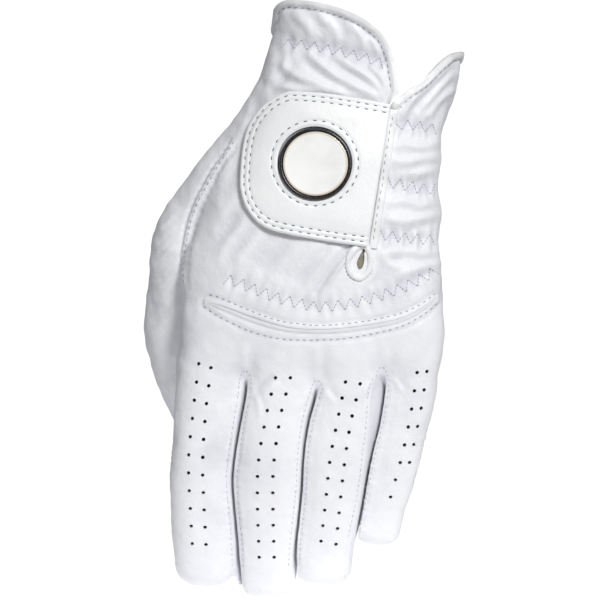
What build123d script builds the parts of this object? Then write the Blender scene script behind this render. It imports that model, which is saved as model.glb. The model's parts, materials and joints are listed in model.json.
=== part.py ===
from build123d import *

import os
from math import cos, radians, sin, tan

# Golf glove for the left hand, filled out as it is when worn.
#
# Millimetres. The origin is the middle of the wrist opening. +Z runs up the forearm, the fingers
# point along -Z, the back of the hand faces -Y, the palm faces +Y and the thumb is on the -X side.
# Each finger and the thumb bends at its middle joint, the closure tab swings open on its sewn root,
# and the ball marker lifts out of its magnetic cup.

os.makedirs("parts", exist_ok=True)

# ---------------------------------------------------------------- driving sizes
LEATHER = 0.8  # thickness of the leather
FAR = 150.0  # longer than any piece, for cutting tools
FINGER_ROOT_Z = -122.0  # where the finger sleeves leave the hand

# Hand sections from the cuff down: height, left edge, right edge, back face, palm face.
HAND_SECTIONS = [
    (24.0, -26.0, 46.5, -9.0, 33.0),
    (0.0, -28.5, 45.5, -12.0, 31.0),
    (-12.0, -33.5, 43.0, -13.6, 29.6),
    (-24.0, -38.5, 40.5, -15.4, 28.0),
    (-40.0, -46.5, 38.5, -17.5, 26.0),
    (-56.0, -54.0, 37.5, -19.4, 24.0),
    (-74.0, -58.8, 37.5, -20.4, 21.5),
    (-92.0, -60.2, 38.4, -20.0, 17.0),
    (-108.0, -60.8, 37.4, -18.0, 11.5),
    (FINGER_ROOT_Z, -61.6, 35.6, -15.8, 8.4),
]

# Fingers: a point on the axis inside the hand, the middle joint, the centre of the round tip,
# and the radius at each of the three.
FINGERS = {
    "index": ((-50.0, -4.0, -112.0), (-52.4, -4.0, -152.0), (-52.4, 15.0, -191.2), (11.0, 11.0, 10.6)),
    "middle": ((-21.8, -4.4, -112.0), (-27.9, -5.0, -156.0), (-28.4, 15.0, -195.8), (11.3, 11.6, 10.0)),
    "ring": ((3.2, -4.2, -112.0), (-3.1, -4.4, -153.6), (-5.6, 14.0, -191.6), (11.2, 11.3, 9.9)),
    "little": ((26.4, -3.4, -112.0), (20.0, -2.0, -149.0), (13.9, 13.0, -177.6), (9.6, 8.8, 7.1)),
}
THUMB_ROOT = (-24.0, 8.0, -18.0)
THUMB_KNUCKLE = (-60.5, 12.0, -77.0)
THUMB_JOINT = (-64.0, 20.5, -108.5)
THUMB_TIP = (-55.2, 32.0, -138.6)
THUMB_RADII = (11.0, 12.2, 11.0, 9.4)  # at the root, the knuckle, the joint and the tip

PALMWARD = Vector(0, 1, 0)

# Each finger straightens by OPEN and curls by CURL from rest, and the sleeve is notched for both.
CURL, OPEN = 45.0, 25.0
THUMB_CURL, THUMB_OPEN = 40.0, 20.0
NOTCH_ROOM = 0.8  # extra angle on each side of a notch, degrees
NOTCH_GAP = 0.25  # half the gap between the two sleeves at the hinge line
NOTCH_REACH = 7.0  # how far each sleeve would run past the hinge before it is notched
SECTOR_REACH = 60.0  # longer than any sleeve is wide

# Closure tab, in layers counted outwards from the leather of the hand.
LOOP_TOP = 0.8
HOOK_BOTTOM, HOOK_TOP = 1.15, 1.9
LINING_TOP = 2.6
TAB_TOP = 3.4
BAND_TOP = LINING_TOP
ROOT_GAP = 0.9  # between the root of the tab and the band beside it
TAB_ROOT_TOP, TAB_ROOT_BOTTOM = (19.0, -18.0), (9.8, -72.2)  # X and Z of the sewn root

# Ball marker and its cup.
MARKER_X, MARKER_Z = -9.5, -41.2
MARKER_R, MARKER_THICK = 12.0, 1.7
CUP_R, CUP_BORE_R = 14.0, 12.4
CUP_FLOOR, CUP_HEIGHT = 0.9, 2.9
MARKER_LIFT = 0.35  # gap under the marker
CUP_ROUND, MARKER_ROUND = 0.4, 0.5  # rounding of the ring and of the marker's face
NOTCH_R, NOTCH_SHIFT = 11.3, 2.2  # the thumbnail notch widens the bore on one side
MAGNET_R, MAGNET_THICK = 6.0, 0.6
CUP_BASE = 2.1  # from the leather of the hand to the underside of the cup

ELASTIC = 0.6  # thickness of the elastic bands, which lie inside the leather
HEM = 0.9  # thickness of the hem and the bindings, which lie on the leather


# The back and palm of the hand meet in a seam at this depth.
SEAM_Y = 7.0
SIDE_SEAM = Plane.XZ.offset(-SEAM_Y)


# ---------------------------------------------------------------- helpers
def hand_solid(grow):
    """The filled outer form of the hand, grown outwards by a distance."""
    with BuildPart() as hand:
        for z, left, right, back, palm in HAND_SECTIONS:
            with BuildSketch(Plane.XY.offset(z)):
                with Locations(((left + right) / 2, (back + palm) / 2)):
                    SlotOverall(right - left + 2 * grow, palm - back + 2 * grow)
        loft()
    return hand.part


def column(*outline):
    """A tool with an outline in X and Z that takes in everything behind the side seams."""
    with BuildPart() as tool:
        with BuildSketch(SIDE_SEAM):
            with BuildLine():
                Polyline(*outline, close=True)
            make_face()
        extrude(amount=FAR)
    return tool.part


def band_column(upper, lower, amount=FAR):
    """A tool between two curves in X and Z, on the back, or on the palm if amount is negative."""
    with BuildPart() as tool:
        with BuildSketch(SIDE_SEAM):
            with BuildLine():
                top_edge = Spline(*upper)
                bottom_edge = Spline(*lower)
                if upper[0] != lower[0]:
                    Line(upper[0], lower[0])
                if upper[-1] != lower[-1]:
                    Line(upper[-1], lower[-1])
            make_face()
        extrude(amount=amount)
    return tool.part


def shifted(line, rise):
    """A line of points in X and Z moved up by a distance."""
    return [(x, z + rise) for x, z in line]


def hand_layer(inner, outer):
    """Adds the space between two grown hand forms to the part being built."""
    add(FORMS[outer])
    add(FORMS[inner], mode=Mode.SUBTRACT)


def between(inner, outer, tool, *cuts):
    """The space between two grown hand forms that lies inside a tool and outside the cuts."""
    with BuildPart() as wall:
        hand_layer(inner, outer)
        add(tool, mode=Mode.INTERSECT)
        for cut in cuts:
            add(cut, mode=Mode.SUBTRACT)
    return wall.part


def cone(start, end, start_r, end_r, before=0.0, after=0.0):
    """A straight tapered bar between two points, which may run on past both."""
    along = (Vector(*end) - Vector(*start)).normalized()
    length = (Vector(*end) - Vector(*start)).length
    slope = (end_r - start_r) / length
    base = Plane(Vector(*start) - along * before, z_dir=along)
    with BuildPart() as bar:
        with BuildSketch(base):
            Circle(start_r - slope * before)
        with BuildSketch(base.offset(before + length + after)):
            Circle(end_r + slope * after)
        loft()
    return bar.part


def fingertip(joint, tip, joint_r, tip_r, thick, before):
    """A tapered bar with a round end, made smaller all over by thick."""
    along = (Vector(*tip) - Vector(*joint)).normalized()
    length = (Vector(*tip) - Vector(*joint)).length
    slope = (tip_r - joint_r) / length
    start_r, end_r = joint_r - slope * before - thick, tip_r - thick
    across = along.cross(PALMWARD).normalized()
    with BuildPart() as bar:
        with BuildSketch(Plane(Vector(*joint), x_dir=across, z_dir=across.cross(along))):
            with BuildLine():
                side = Line((start_r, -before), (end_r, length))
                RadiusArc(side @ 1, (0, length + end_r), -end_r)
                Polyline((0, length + end_r), (0, -before), (start_r, -before))
            make_face()
        revolve(axis=Axis(Vector(*joint), along))
    return bar.part


def hinge_frame(start, joint, end, towards=None):
    """Plane at a bend: its X is the hinge line, its Y points to the outside of the bend, its Z runs on.

    The finger curls towards a given direction, or else in the plane of its own two halves.
    """
    into = (Vector(*joint) - Vector(*start)).normalized()
    out = (Vector(*end) - Vector(*joint)).normalized()
    line = into.cross(towards or out).normalized()
    onward = into + out
    return Plane(Vector(*joint), x_dir=line, z_dir=(onward - line * onward.dot(line)).normalized())


def notch_tool(frame, side, curl, straighten):
    """Everything past a sleeve's notched end. side is 1 for the near sleeve and -1 for the far one."""
    palm_slope = tan(radians(curl / 2 + NOTCH_ROOM))
    back_slope = tan(radians(straighten / 2 + NOTCH_ROOM))
    reach = SECTOR_REACH
    edge = [
        (-reach, -side * (NOTCH_GAP + reach * palm_slope)),
        (0.0, -side * NOTCH_GAP),
        (reach, -side * (NOTCH_GAP + reach * back_slope)),
    ]
    section = Plane(frame.origin, x_dir=frame.y_dir, z_dir=frame.y_dir.cross(frame.z_dir))
    with BuildPart() as tool:
        with BuildSketch(section):
            with BuildLine():
                Polyline(*edge, (reach, side * 2 * reach), (-reach, side * 2 * reach), close=True)
            make_face()
        extrude(amount=FAR, both=True)
    return tool.part


def sector_tool(origin, along, hinge_line, start, end):
    """A wedge about a sleeve's axis. 0 degrees is towards +X, 90 the back, 180 towards -X, 270 the palm."""
    plane = Plane(origin, x_dir=hinge_line - along * hinge_line.dot(along), z_dir=along)
    steps = max(2, round((end - start) / 45))
    angles = [radians(start + (end - start) * i / steps) for i in range(steps + 1)]
    rim = [(SECTOR_REACH * cos(angle), SECTOR_REACH * sin(angle)) for angle in angles]
    with BuildPart() as tool:
        with BuildSketch(plane):
            with BuildLine():
                Polyline((0, 0), *rim, close=True)
            make_face()
        extrude(amount=FAR, both=True)
    return tool.part


def save(piece, name):
    """Writes one node. Several solids in it stay separate."""
    piece.part.label = name
    export_step(piece.part, f"parts/{name}.step")


def save_sectors(name, sleeve, sectors):
    """Saves the walls of a sleeve that lie in some sectors, as one node."""
    walls = [sleeve & sector for sector in sectors]
    with BuildPart() as piece:
        add(walls)
    save(piece, name)


# ---------------------------------------------------------------- hand forms and outlines
LAYER_HEIGHTS = (0.0, LOOP_TOP, HEM, HOOK_BOTTOM, HOOK_TOP, LINING_TOP, TAB_TOP)
FORMS = {grow: hand_solid(grow) for grow in (-LEATHER - ELASTIC, -LEATHER, *LAYER_HEIGHTS)}

# Rim of the cuff in X and Z. On the back the left half stands high and the right half ends in a point,
# with the slit between them. On the palm the rim dips.
CUFF_LEFT = [
    (-29.0, 18.0), (-25.0, 21.4), (-14.0, 21.8), (-2.0, 19.0),
    (9.0, 14.2), (16.5, 6.6), (19.8, -2.0), (21.0, -13.8),
]
CUFF_RIGHT = [(21.0, -15.6), (27.0, -10.8), (36.0, -3.0), (48.0, 4.0)]
CUFF_PALM = [(-29.0, 18.0), (-14.0, 0.0), (4.0, -13.0), (20.0, -17.0), (34.0, -11.0), (48.0, 4.0)]
HEM_DEPTH = 4.0
SLIT = [(22.4, -12.5), (16.8, -20.0), (7.8, -74.0)]
SLIT_WIDTH = 0.9
TEARDROP_TOP, TEARDROP_FOOT = (8.6, -73.6), (6.6, -81.0)
TEARDROP_HALF = 1.7
TEARDROP_RIM = (4.0, 5.6)  # half width and half height of the binding round the teardrop
TEARDROP_LEAN = -12
KNUCKLE_UPPER = [(-52.5, -91.5), (-34.0, -98.6), (-12.0, -103.2), (12.0, -101.8), (27.0, -97.0), (35.0, -91.5)]
KNUCKLE_LOWER = [(-52.5, -91.5), (-34.0, -100.8), (-12.0, -105.6), (12.0, -104.0), (27.0, -99.0), (35.0, -91.5)]
KNUCKLE_ELASTIC = [
    (-44.0, -83.5), (-30.0, -88.6), (-14.0, -93.4), (2.0, -94.8),
    (14.0, -92.8), (26.0, -87.4), (35.0, -81.0),
]
WRIST_ELASTIC = [(-21.0, 6.4), (-8.0, 5.0), (4.0, 1.6), (14.0, -2.0)]
SIDE_ELASTICS = [
    [(24.5, -25.6), (34.5, -27.4)],
    [(20.5, -47.6), (33.0, -49.8)],
    [(16.5, -67.8), (32.5, -69.2)],
]
ELASTIC_WIDTH = 6.0
BAND_WIDTH = 2.7
LOOP_OUTLINE = [(-26.0, -20.0), (8.0, -20.0), (2.0, -64.0), (-24.0, -62.0), (-31.0, -56.0), (-31.0, -28.0)]
HOOK_OUTLINE = [(-25.0, -21.5), (3.0, -21.5), (-2.0, -62.5), (-23.5, -60.5), (-29.5, -55.0), (-29.5, -29.0)]

TOP = 60.0  # well above the cuff
with BuildPart() as above_back_rim:
    with BuildSketch(SIDE_SEAM):
        with BuildLine():
            Spline(*CUFF_LEFT)
            Line(CUFF_LEFT[-1], CUFF_RIGHT[0])
            Spline(*CUFF_RIGHT)
            beyond_left = (-TOP, CUFF_LEFT[0][1])
            beyond_right = (TOP, CUFF_RIGHT[-1][1])
            Polyline(CUFF_RIGHT[-1], beyond_right, (TOP, TOP), (-TOP, TOP), beyond_left, CUFF_LEFT[0])
        make_face()
    extrude(amount=FAR)
with BuildPart() as above_palm_rim:
    with BuildSketch(SIDE_SEAM):
        with BuildLine():
            Spline(*CUFF_PALM)
            Polyline(CUFF_PALM[-1], beyond_right, (TOP, TOP), (-TOP, TOP), beyond_left, CUFF_PALM[0])
        make_face()
    extrude(amount=-FAR)

with BuildPart() as back_half:
    with Locations((0, SEAM_Y - FAR / 2, -FAR / 2)):
        Box(2 * FAR, FAR, 3 * FAR)
with BuildPart() as palm_half:
    with Locations((0, SEAM_Y + FAR / 2, -FAR / 2)):
        Box(2 * FAR, FAR, 3 * FAR)

# ---------------------------------------------------------------- thumb
knuckle_radii, joint_radii, tip_radii = THUMB_RADII[:2], THUMB_RADII[1:3], THUMB_RADII[2:]
thumb_palm_end = cone(THUMB_ROOT, THUMB_KNUCKLE, *knuckle_radii, after=2.0)
thumb_knuckle_end = cone(THUMB_KNUCKLE, THUMB_JOINT, *joint_radii, before=4.0, after=NOTCH_REACH)
palm_end_bore = cone(THUMB_ROOT, THUMB_KNUCKLE, *(r - LEATHER for r in knuckle_radii), before=6.0, after=2.0)
knuckle_end_bore = cone(
    THUMB_KNUCKLE, THUMB_JOINT, *(r - LEATHER for r in joint_radii), before=4.0, after=NOTCH_REACH + 1
)
thumb_frame = hinge_frame(THUMB_KNUCKLE, THUMB_JOINT, THUMB_TIP)
thumb_into = (Vector(*THUMB_JOINT) - Vector(*THUMB_KNUCKLE)).normalized()
thumb_out = (Vector(*THUMB_TIP) - Vector(*THUMB_JOINT)).normalized()
thumb_base_notch = notch_tool(thumb_frame, 1, THUMB_CURL, THUMB_OPEN)
thumb_tip_notch = notch_tool(thumb_frame, -1, THUMB_CURL, THUMB_OPEN)
thumb_tip_form = fingertip(THUMB_JOINT, THUMB_TIP, *tip_radii, 0.0, NOTCH_REACH)
thumb_tip_bore = fingertip(THUMB_JOINT, THUMB_TIP, *tip_radii, LEATHER, NOTCH_REACH + 1)

with BuildPart() as thumb_bore:
    add(palm_end_bore)
    add(knuckle_end_bore)
with BuildPart() as thumb_sleeve:
    add(thumb_palm_end)
    add(thumb_knuckle_end)
    add(thumb_bore.part, mode=Mode.SUBTRACT)
    add(FORMS[0.0], mode=Mode.SUBTRACT)
    add(thumb_base_notch, mode=Mode.SUBTRACT)
with BuildPart() as thumb_cap:
    add(thumb_tip_form)
    add(thumb_tip_bore, mode=Mode.SUBTRACT)
    add(thumb_tip_notch, mode=Mode.SUBTRACT)
for piece_name, first, last in (("back", 0, 180), ("palm", 180, 360)):
    base_sector = sector_tool(Vector(*THUMB_JOINT), thumb_into, thumb_frame.x_dir, first, last)
    tip_sector = sector_tool(Vector(*THUMB_JOINT), thumb_out, thumb_frame.x_dir, first, last)
    save_sectors(f"thumb_{piece_name}_base", thumb_sleeve.part, [base_sector])
    save_sectors(f"thumb_{piece_name}_tip", thumb_cap.part, [tip_sector])

# ---------------------------------------------------------------- back and palm of the hand
with BuildPart() as teardrop:
    with BuildSketch(SIDE_SEAM):
        with BuildLine():
            middle = tuple((top + 2 * foot) / 3 for top, foot in zip(TEARDROP_TOP, TEARDROP_FOOT))
            Spline(TEARDROP_TOP, (middle[0] - TEARDROP_HALF, middle[1]), TEARDROP_FOOT)
            Spline(TEARDROP_FOOT, (middle[0] + TEARDROP_HALF, middle[1]), TEARDROP_TOP)
        make_face()
    extrude(amount=FAR)
with BuildPart() as teardrop_rim:
    with BuildSketch(SIDE_SEAM):
        with Locations(middle):
            Ellipse(*TEARDROP_RIM, rotation=TEARDROP_LEAN)
    extrude(amount=FAR)
slit = column(*SLIT, *((x + SLIT_WIDTH, z) for x, z in reversed(SLIT)))
knuckle_opening = band_column(KNUCKLE_UPPER, KNUCKLE_LOWER)

with BuildPart() as back_panel:
    hand_layer(-LEATHER, 0.0)
    add(thumb_bore.part, mode=Mode.SUBTRACT)
    add(back_half.part, mode=Mode.INTERSECT)
    for opening in (above_back_rim.part, slit, teardrop.part, knuckle_opening):
        add(opening, mode=Mode.SUBTRACT)
save(back_panel, "back_panel")

with BuildPart() as palm_panel:
    hand_layer(-LEATHER, 0.0)
    add(thumb_bore.part, mode=Mode.SUBTRACT)
    add(palm_half.part, mode=Mode.INTERSECT)
    add(above_palm_rim.part, mode=Mode.SUBTRACT)
save(palm_panel, "palm_panel")

with BuildPart() as knuckle_insert:
    hand_layer(-LEATHER, 0.0)
    add(knuckle_opening, mode=Mode.INTERSECT)
save(knuckle_insert, "knuckle_insert")

# ---------------------------------------------------------------- hems, bindings, elastic, loop patch
left_hem = band_column(CUFF_LEFT, [(x - HEM_DEPTH / 2, z - HEM_DEPTH) for x, z in CUFF_LEFT])
right_hem = band_column(CUFF_RIGHT, shifted(CUFF_RIGHT, -HEM_DEPTH))
palm_hem = band_column(CUFF_PALM, shifted(CUFF_PALM, -HEM_DEPTH), amount=-FAR)

hem_walls = [between(0.0, HEM, hem, above_back_rim.part, slit) for hem in (left_hem, right_hem)]
with BuildPart() as cuff_hem_back:
    add(hem_walls)
save(cuff_hem_back, "cuff_hem_back")

with BuildPart() as cuff_hem_palm:
    hand_layer(0.0, HEM)
    add(palm_hem, mode=Mode.INTERSECT)
    add(above_palm_rim.part, mode=Mode.SUBTRACT)
save(cuff_hem_palm, "cuff_hem_palm")

# The band binds the slit on the side away from the tab.
root_top_x, root_top_z = TAB_ROOT_TOP
root_bottom_x, root_bottom_z = TAB_ROOT_BOTTOM
band = column(
    (root_top_x + ROOT_GAP, root_top_z),
    (root_top_x + ROOT_GAP + BAND_WIDTH, root_top_z),
    (root_bottom_x + ROOT_GAP + BAND_WIDTH, root_bottom_z),
    (root_bottom_x + ROOT_GAP, root_bottom_z),
)
with BuildPart() as slit_band:
    hand_layer(0.0, BAND_TOP)
    add(band, mode=Mode.INTERSECT)
    add(right_hem, mode=Mode.SUBTRACT)
    add(above_back_rim.part, mode=Mode.SUBTRACT)
save(slit_band, "slit_band")

with BuildPart() as teardrop_binding:
    hand_layer(0.0, HEM)
    add(teardrop_rim.part, mode=Mode.INTERSECT)
    for neighbour in (teardrop.part, slit, band):
        add(neighbour, mode=Mode.SUBTRACT)
save(teardrop_binding, "teardrop_binding")

loop_column = column(*LOOP_OUTLINE)
with BuildPart() as loop_patch:
    hand_layer(0.0, LOOP_TOP)
    add(loop_column, mode=Mode.INTERSECT)
    add(slit, mode=Mode.SUBTRACT)
save(loop_patch, "loop_patch")

for elastic_name, lines in (
    ("knuckle_elastic", [KNUCKLE_ELASTIC]),
    ("wrist_elastic", [WRIST_ELASTIC]),
    ("side_elastics", SIDE_ELASTICS),
):
    half_width = ELASTIC_WIDTH / 2
    bands = [band_column(shifted(line, half_width), shifted(line, -half_width)) for line in lines]
    strips = [between(-LEATHER - ELASTIC, -LEATHER, strip) for strip in bands]
    with BuildPart() as elastic:
        add(strips)
    save(elastic, elastic_name)

# ---------------------------------------------------------------- closure tab
with BuildPart() as tab_column:
    with BuildSketch(SIDE_SEAM):
        with BuildLine():
            top = Spline(TAB_ROOT_TOP, (0.0, -14.6), (-18.0, -13.4))
            corner = Spline(top @ 1, (-31.0, -20.5), (-37.2, -42.0), tangents=[top % 1, (-0.12, -1)])
            lower = Spline(corner @ 1, (-36.0, -57.0), (-26.0, -66.2), (-8.0, -70.2), TAB_ROOT_BOTTOM)
            Line(TAB_ROOT_BOTTOM, TAB_ROOT_TOP)
        make_face()
    extrude(amount=FAR)

sections_by_height = sorted(HAND_SECTIONS)
below = max(s for s in sections_by_height if s[0] <= MARKER_Z)
above = min(s for s in sections_by_height if s[0] > MARKER_Z)
back_slope = (above[3] - below[3]) / (above[0] - below[0])
MARKER_Y = below[3] + back_slope * (MARKER_Z - below[0])
marker_normal = Vector(0, -1, back_slope).normalized()
marker_spot = Vector(MARKER_X, MARKER_Y, MARKER_Z)
cup_plane = Plane(marker_spot + marker_normal * CUP_BASE, x_dir=(1, 0, 0), z_dir=marker_normal)
cup_axis = Axis(cup_plane.origin, marker_normal)

with BuildPart() as marker_cup:
    with BuildSketch(cup_plane):
        Circle(CUP_R)
    extrude(amount=CUP_HEIGHT)
    with BuildSketch(cup_plane.offset(CUP_FLOOR)):
        Circle(CUP_BORE_R)
        with Locations((NOTCH_SHIFT, 0)):
            Circle(NOTCH_R)
    extrude(amount=CUP_HEIGHT, mode=Mode.SUBTRACT)
    with BuildSketch(cup_plane):
        Circle(MAGNET_R)
    extrude(amount=MAGNET_THICK, mode=Mode.SUBTRACT)
    rings = marker_cup.edges().filter_by(GeomType.CIRCLE).sort_by(cup_axis)
    fillet(rings.filter_by(lambda ring: abs(ring.radius - CUP_R) < 0.01)[-1], CUP_ROUND)
save(marker_cup, "marker_cup")

with BuildPart() as magnet:
    with BuildSketch(cup_plane):
        Circle(MAGNET_R)
    extrude(amount=MAGNET_THICK)
save(magnet, "magnet")

with BuildPart() as ball_marker:
    with BuildSketch(cup_plane.offset(CUP_FLOOR + MARKER_LIFT)):
        Circle(MARKER_R)
    extrude(amount=MARKER_THICK)
    face_rim = ball_marker.edges().filter_by(GeomType.CIRCLE).sort_by(cup_axis)[-1]
    fillet(face_rim, MARKER_ROUND)
save(ball_marker, "ball_marker")

with BuildPart() as cup_hole:
    with BuildSketch(cup_plane.offset(-CUP_BASE)):
        Circle(CUP_R)
    extrude(amount=FAR)

with BuildPart() as tab_outer:
    hand_layer(LINING_TOP, TAB_TOP)
    add(tab_column.part, mode=Mode.INTERSECT)
    add(cup_hole.part, mode=Mode.SUBTRACT)
save(tab_outer, "tab_outer")

with BuildPart() as tab_lining:
    hand_layer(HOOK_TOP, LINING_TOP)
    add(tab_column.part, mode=Mode.INTERSECT)
    add(cup_hole.part, mode=Mode.SUBTRACT)
save(tab_lining, "tab_lining")

hook_column = column(*HOOK_OUTLINE)
with BuildPart() as hook_pad:
    hand_layer(HOOK_BOTTOM, HOOK_TOP)
    add(hook_column, mode=Mode.INTERSECT)
save(hook_pad, "hook_pad")

# ---------------------------------------------------------------- fingers
with BuildPart() as above_root:
    with Locations((0, 0, FINGER_ROOT_Z + FAR / 2)):
        Box(2 * FAR, 2 * FAR, FAR)

# Sectors of each finger's sleeve, by piece: the leather that wraps it, and the side walls between fingers.
SECTORS = {
    "index": {"wrap": [(45, 315)], "fourchette": [(-45, 45)]},
    "middle": {"back": [(45, 135)], "palm": [(225, 315)], "fourchettes": [(-45, 45), (135, 225)]},
    "ring": {"back": [(45, 135)], "palm": [(225, 315)], "fourchettes": [(-45, 45), (135, 225)]},
    "little": {"back": [(0, 135)], "palm": [(225, 360)], "fourchette": [(135, 225)]},
}
finger_bars = []
for finger, (root, joint, tip, radii) in FINGERS.items():
    frame = hinge_frame(root, joint, tip, towards=PALMWARD)
    base_bar = cone(root, joint, *radii[:2], after=NOTCH_REACH)
    base_bore = cone(root, joint, *(r - LEATHER for r in radii[:2]), before=1.0, after=NOTCH_REACH + 1)
    tip_form = fingertip(joint, tip, *radii[1:], 0.0, NOTCH_REACH)
    tip_bore = fingertip(joint, tip, *radii[1:], LEATHER, NOTCH_REACH + 1)
    base_notch = notch_tool(frame, 1, CURL, OPEN)
    tip_notch = notch_tool(frame, -1, CURL, OPEN)
    with BuildPart() as sleeve:
        add(base_bar)
        add(base_bore, mode=Mode.SUBTRACT)
        add(above_root.part, mode=Mode.SUBTRACT)
        add(base_notch, mode=Mode.SUBTRACT)
    with BuildPart() as cap:
        add(tip_form)
        add(tip_bore, mode=Mode.SUBTRACT)
        add(tip_notch, mode=Mode.SUBTRACT)
    finger_bars.append(base_bar)
    into = (Vector(*joint) - Vector(*root)).normalized()
    out = (Vector(*tip) - Vector(*joint)).normalized()
    for piece_name, spans in SECTORS[finger].items():
        base_tools = [sector_tool(Vector(*joint), into, frame.x_dir, *span) for span in spans]
        tip_tools = [sector_tool(Vector(*joint), out, frame.x_dir, *span) for span in spans]
        save_sectors(f"{finger}_{piece_name}_base", sleeve.part, base_tools)
        save_sectors(f"{finger}_{piece_name}_tip", cap.part, tip_tools)

# The web closes the end of the hand round the finger sleeves.
_, web_left, web_right, web_back, web_palm = HAND_SECTIONS[-1]
with BuildPart() as finger_web:
    with BuildSketch(Plane.XY.offset(FINGER_ROOT_Z)):
        with Locations(((web_left + web_right) / 2, (web_back + web_palm) / 2)):
            SlotOverall(web_right - web_left, web_palm - web_back)
    extrude(amount=-LEATHER)
    for bar in finger_bars:
        add(bar, mode=Mode.SUBTRACT)
save(finger_web, "finger_web")
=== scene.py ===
import json
import math

import bpy
import numpy as np
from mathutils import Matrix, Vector
from mathutils.bvhtree import BVHTree


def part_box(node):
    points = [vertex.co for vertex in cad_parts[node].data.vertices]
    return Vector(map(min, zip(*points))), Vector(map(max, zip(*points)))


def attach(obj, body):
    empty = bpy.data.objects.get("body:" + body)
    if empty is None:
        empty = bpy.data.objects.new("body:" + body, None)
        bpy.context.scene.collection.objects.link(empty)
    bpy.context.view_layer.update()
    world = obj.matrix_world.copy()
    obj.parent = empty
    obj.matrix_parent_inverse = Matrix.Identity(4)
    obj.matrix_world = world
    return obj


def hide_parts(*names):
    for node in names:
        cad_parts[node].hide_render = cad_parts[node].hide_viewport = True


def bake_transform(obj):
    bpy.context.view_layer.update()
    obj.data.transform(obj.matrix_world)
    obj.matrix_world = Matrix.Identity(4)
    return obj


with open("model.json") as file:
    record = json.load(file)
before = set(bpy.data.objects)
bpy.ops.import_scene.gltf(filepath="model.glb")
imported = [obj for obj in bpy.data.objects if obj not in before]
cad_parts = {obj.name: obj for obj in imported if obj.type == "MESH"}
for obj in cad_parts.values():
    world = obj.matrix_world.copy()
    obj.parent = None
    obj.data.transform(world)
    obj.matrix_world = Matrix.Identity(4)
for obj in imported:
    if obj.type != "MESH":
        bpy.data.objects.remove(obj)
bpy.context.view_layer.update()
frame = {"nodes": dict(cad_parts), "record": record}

# The glove is designed here in millimetres, in the record's frame: X across, Y from the back of the
# hand to the palm, Z up from the fingertips to the cuff, with 0 at the middle of the wrist opening.
for spare in ("Cube", "Light", "Camera"):
    if spare in bpy.data.objects:
        bpy.data.objects.remove(bpy.data.objects[spare])
MM = 0.001
STEP = 0.75  # spacing of the surface mesh
WALL = 0.7  # leather thickness
rng = np.random.default_rng(11)  # for small unevenness in the sewing
joints = {joint["name"]: joint for joint in frame["record"]["behaviour"]["joints"]}
FINGERS = ("index", "middle", "ring", "little")


# ---- small maths
def run_along(line):
    """Length of a line up to each of its points."""
    return np.r_[0, np.cumsum(np.linalg.norm(np.diff(line, axis=0), axis=1))]


def points_at(at, line):
    """Points of a line at given lengths along it."""
    run = run_along(line)
    return np.stack([np.interp(at, run, line[:, k]) for k in range(line.shape[1])], axis=1)


def smooth_curve(points, spacing=None, count=None, closed=False):
    """Even points on a Catmull-Rom curve through the given ones."""
    p = np.array(points, float)
    if closed:
        p = np.vstack([p[-1], p, p[0], p[1]])
    else:
        p = np.vstack([2 * p[0] - p[1], p, 2 * p[-1] - p[-2]])
    t = np.linspace(0, 1, 16, endpoint=False)[:, None]
    spans = []
    for a, b, c, d in zip(p[:-3], p[1:-2], p[2:-1], p[3:]):
        second = 2 * a - 5 * b + 4 * c - d
        third = 3 * b - a - 3 * c + d
        spans.append(0.5 * (2 * b + (c - a) * t + second * t**2 + third * t**3))
    fine = np.vstack(spans + [spans[0][:1] if closed else p[-2:-1]])
    length = run_along(fine)[-1]
    count = count or max(2, int(round(length / spacing)) + 1)
    return points_at(np.linspace(0, length, count), fine)


def curve_length(line):
    return float(run_along(line)[-1])


def across(line, closed=False):
    """Unit steps to the left of a line, at each of its points."""
    if closed:
        along = np.roll(line, -1, axis=0) - np.roll(line, 1, axis=0)
    else:
        along = np.gradient(line, axis=0)
    along /= np.linalg.norm(along, axis=1, keepdims=True) + 1e-9
    return np.stack([-along[:, 1], along[:, 0]], axis=1)


def offset_line(line, shift):
    """A line in X and Z moved to its left by a distance."""
    return line + shift * across(line)


def trimmed(line, start, end):
    """A line without its first and last stretch."""
    stop = curve_length(line) - end
    return points_at(np.linspace(start, stop, max(2, int((stop - start) / 0.8))), line)


def to_line(x, z, line):
    """Distance from points to a line in X and Z, the run along it, and the side, which is 1 on its left."""
    best = np.full(x.shape, 1e9)
    along = np.zeros(x.shape)
    side = np.zeros(x.shape)
    run = 0.0
    for (ax, az), (bx, bz) in zip(line[:-1], line[1:]):
        dx, dz = bx - ax, bz - az
        length = math.hypot(dx, dz) + 1e-9
        t = np.clip(((x - ax) * dx + (z - az) * dz) / length**2, 0, 1)
        px, pz = x - ax - t * dx, z - az - t * dz
        d = np.hypot(px, pz)
        near = d < best
        best = np.where(near, d, best)
        along = np.where(near, run + t * length, along)
        side = np.where(near, np.sign(dx * pz - dz * px), side)
        run += length
    return best, along, side


def inside_outline(x, z, outline):
    """Whether points lie inside a closed outline in X and Z."""
    hit = np.zeros(x.shape, bool)
    for (ax, az), (bx, bz) in zip(outline, np.roll(outline, -1, axis=0)):
        if az != bz:
            crosses = (az > z) != (bz > z)
            hit ^= crosses & (x < (bx - ax) * (z - az) / (bz - az) + ax)
    return hit


def outline_distance(x, z, outline):
    """Distance to a closed outline, below 0 inside it."""
    d = to_line(x, z, np.vstack([outline, outline[:1]]))[0]
    return np.where(inside_outline(x, z, outline), -d, d)


def smin(a, b, k):
    """The lesser of two values, with a soft change over about k."""
    h = np.maximum(k - np.abs(a - b), 0) / k
    return np.minimum(a, b) - h * h * k / 4


def smax(a, b, k):
    return -smin(-a, -b, k)


def ease(t):
    """0 up to 0 and 1 from 1, with a smooth change between."""
    t = np.clip(t, 0, 1)
    return t * t * (3 - 2 * t)


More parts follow.
